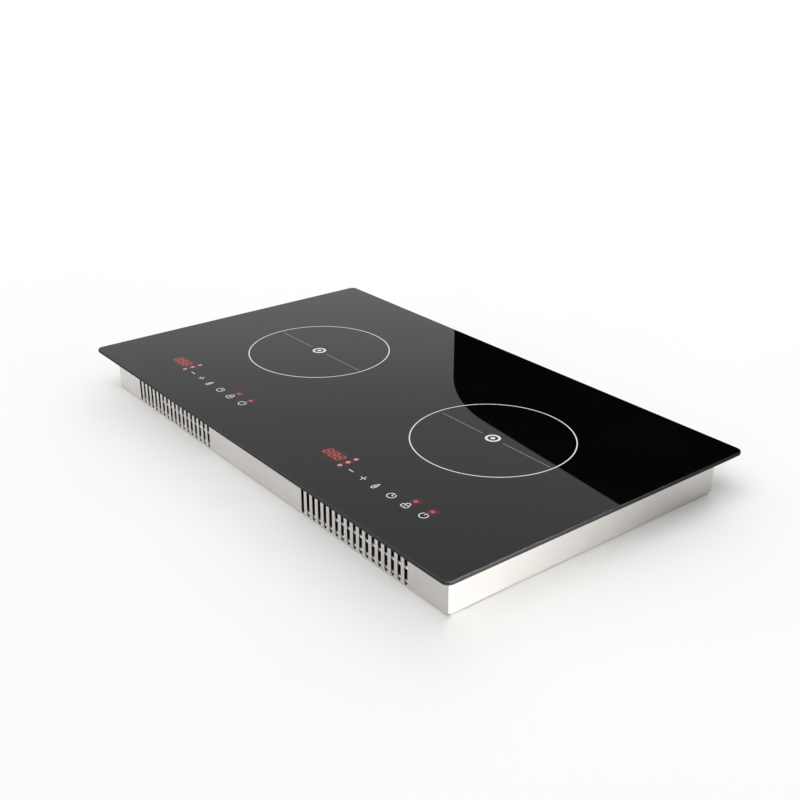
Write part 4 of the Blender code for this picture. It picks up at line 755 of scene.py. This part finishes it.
def halo(centre_x, centre_y, half_x, half_y, strength):
    """Light that falls off smoothly from a point of either zone, in mm from its middle and from the front edge:
    strength where the scaled distance is 0, none at 1."""
    moved = add(glass, "VectorMath", {"operation": "SUBTRACT", 1: (centre_x * MM, front_y + centre_y * MM, 0)},
                {0: local.outputs[0]})
    scaled = add(glass, "VectorMath", {"operation": "MULTIPLY", 1: (1 / half_x / MM, 1 / half_y / MM, 0)},
                 {0: moved.outputs[0]})
    away = add(glass, "VectorMath", {"operation": "LENGTH"}, {0: scaled.outputs[0]})
    return add(glass, "MapRange", {"interpolation_type": "SMOOTHSTEP", "From Min": 1.0, "From Max": 0.0,
                                   "To Max": strength}, {"Value": away.outputs["Value"]}).outputs[0]


lit = halo(display_x, display_back, 25, 14, 0.4)
for spot in [(x, lamps_back, 8.5, 8.5, 0.42) for x in lamp_places] + [(dots_x, 69.4, 8, 17, 0.2)]:
    lit = add(glass, "Math", {"operation": "ADD"}, {0: lit, 1: halo(*spot)}).outputs[0]
glass_lit = add(glass, "Mix", {"data_type": "RGBA", 6: linear("#000000"), 7: linear("#A01016")}, {0: lit})
glass_bump = add(glass, "Bump", {"Strength": 0.02, "Distance": 0.02 * MM}, {"Height": grains.outputs["Fac"]})
close(glass, {"IOR": 1.53, "Emission Strength": 1.0},
      {"Base Color": glass_tone.outputs[2], "Roughness": glass_rough.outputs[0], "Normal": glass_bump.outputs[0],
       "Emission Color": glass_lit.outputs[2]})
coat(glass, "glass_plate")


# Printing on the glass: white ceramic ink, screen-printed and fired. A ring shows each zone, a dim line crosses
# it, a plain target marks its middle, and a row of symbols marks the six keys. Real ink is 0.02 mm thick; this
# is 0.05 mm, so that it stands clear of the glass.

def ink_material(name, pale, dark):
    """Fired ceramic ink: satin, a little mottled where the mesh of the screen, 0.3 mm, left it uneven."""
    made, place = blank(name)
    mesh_marks = add(made, "TexNoise", {"Scale": 3300.0, "Detail": 2.0}, {"Vector": place})
    patches = add(made, "TexNoise", {"Scale": 120.0, "Detail": 3.0}, {"Vector": place})
    surface(made, {"IOR": 1.5}, (mesh_marks.outputs["Fac"], dark, pale), (patches.outputs["Fac"], 0.35, 0.5),
            (mesh_marks.outputs["Fac"], 0.1, 0.02 * MM))
    return made


white_ink = ink_material("fired_white_ink", "#E4E4E2", "#CFCFCD")
grey_ink = ink_material("fired_grey_ink", "#8C8C8C", "#7A7A7A")


def line(points, width, closed=False):
    """A printed line on the glass: a low section, width by 0.05 mm, carried along points in mm."""
    points, raised = np.asarray(points, float), 0.05
    path = np.concatenate([points, np.zeros((len(points), 1))], axis=1) * MM + (0, 0, glass_top)
    half = width / 2
    section = np.array([(-half, -0.01), (half, -0.01), (half, raised * 0.6), (half * 0.9, raised),
                        (-half * 0.9, raised), (-half, raised * 0.6), (-half, -0.01)]) * MM
    return carried(path, section, (0, 0, 1), closed)


def arc(x, y, radius, start, stop, steps=24):
    """Points of an arc in mm, from one angle to another in degrees: (x + r cos a, y + r sin a)."""
    angle = np.radians(np.linspace(start, stop, steps + 1))
    return np.stack([x + radius * np.cos(angle), y + radius * np.sin(angle)], axis=-1)


def key_symbols(x, y):
    """The key symbols in mm: minus, plus, drop, timer, padlock and power, left to right."""
    turn = np.linspace(0, 2 * np.pi, 33)
    drop = np.stack([3.2 * np.sin(turn) * np.abs(np.sin(turn / 2)) ** 1.4, 5.8 * np.cos(turn)], axis=-1)
    shackle = np.vstack([[(-2.7, -0.4)], arc(0, 1.6, 2.7, 180, 0, 16), [(2.7, -0.4)]])
    body = np.array([(-4.9, -0.4), (4.9, -0.4), (4.4, -4.6), (2.4, -5.4), (-2.4, -5.4), (-4.4, -4.6), (-4.9, -0.4)])
    strokes = [([(-4.1, 0), (4.1, 0)], 0), ([(-4.2, 0), (4.2, 0)], 1), ([(0, -4.2), (0, 4.2)], 1), (drop, 2),
               ([(0, -2.8), (0, 0.8)], 2), (arc(0, 0, 4.9, 62, -272), 3), ([(0, 0.3), (0, 4.0)], 3),
               ([(0, 0.3), (2.2, 0.3)], 3), (shackle, 4), (body, 4), ([(0, -2.0), (0, -3.6)], 4),
               (arc(0, 0, 4.9, 58, -238), 5), ([(0, 0.8), (0, 5.8)], 5)]
    return [line(np.asarray(points) + (x + key_places[key], y), 1.1) for points, key in strokes]


ring_radius, ring_line, controls = 94, 1.4, front_y / MM
for side, centre_x in (("left", -zone_x), ("right", zone_x)):
    ring = line(arc(centre_x, zone_y, ring_radius, 0, 360, 180), ring_line, True)
    cross = [line([(centre_x + a, zone_y), (centre_x + b, zone_y)], 1.0) for a, b in ((-87, -17), (17, 90))]
    target = [line(arc(centre_x, zone_y, radius, 0, 360, steps), width, True)
              for radius, steps, width in ((7.6, 48, 3.0), (1.6, 24, 2.6))]
    symbols = key_symbols(centre_x, controls + keys_back)
    for name, lines, ink in (("zone_ring_", [ring], white_ink), ("zone_line_", cross, grey_ink),
                             ("zone_target_", target, white_ink), ("key_symbols_", symbols, white_ink)):
        lay(lines, name + side, ink, "casing")


# Display digits and lamps: red light-emitting diodes that shine through the glass. Each digit has seven bars.
# The three dots beside them are lit too, and a round lamp stands behind the lock and the power key.

def lamp_material(name, colour, dark, strength):
    """Lit diode under glass: its own red light, a little uneven from edge to edge."""
    made, place = blank(name)
    uneven = add(made, "TexNoise", {"Scale": 500.0, "Detail": 2.0}, {"Vector": place})
    tone = add(made, "Mix", {"data_type": "RGBA", 6: linear(dark), 7: linear(colour)}, {0: uneven.outputs["Fac"]})
    close(made, {"IOR": 1.5, "Roughness": 0.3, "Emission Strength": strength},
          {"Base Color": tone.outputs[2], "Emission Color": tone.outputs[2]})
    return made


digit_red = lamp_material("lit_digit_red", "#B04A46", "#983C3A", 0.22)
dot_pink = lamp_material("lit_dot_pink", "#C08482", "#A87270", 0.18)
lamp_red = lamp_material("lit_lamp_red", "#B85054", "#A04046", 0.16)


def digit(x, y):
    """An eight of seven bars, 8 by 13 mm, leaning 8 degrees, from its lower left corner in mm."""
    wide, tall, gap, lean = 6.4, 11.6, 0.5, np.tan(np.radians(8))
    ends = [((0, h), (wide, h)) for h in (0, tall / 2, tall)]
    ends += [((w, h), (w, h + tall / 2)) for w in (0, wide) for h in (0, tall / 2)]
    bars = []
    for start, stop in ends:
        start, stop = np.array(start, float), np.array(stop, float)
        along = (stop - start) / np.linalg.norm(stop - start)
        points = np.stack([start + along * gap, stop - along * gap])
        points[:, 0] += points[:, 1] * lean
        bars.append(line(points + (x, y), 1.3))
    return bars


def dot(x, y, radius):
    """A lens on the glass in mm: the profile (r, h (1 - (r/R)^2)) spun round, closed below."""
    share = np.linspace(0, 1, 7)
    profile = np.stack([radius * share, 0.12 * (1 - share ** 2)], axis=-1)
    profile = np.vstack([profile, [(radius, -0.01), (0, -0.01)]]) * MM
    return turned(profile, (x * MM, y * MM, glass_top), 24)


digit_pitch, dot_radius, lamp_radius = 11.0, 2.8, 2.4
for side, centre_x in (("left", -zone_x), ("right", zone_x)):
    digits = [bar for i in (-1, 0, 1)
              for bar in digit(centre_x + display_x - 4.0 + digit_pitch * i, controls + display_back - 5.8)]
    dots = [dot(centre_x + dots_x, controls + back, dot_radius) for back in (58.5, 69.4, 80.2)]
    lamps = [dot(centre_x + x, controls + lamps_back, lamp_radius) for x in lamp_places]
    for name, lights, made in (("lit_digits_", digits, digit_red), ("lit_dots_", dots, dot_pink),
                               ("lit_lamps_", lamps, lamp_red)):
        lay(lights, name + side, made, "casing")
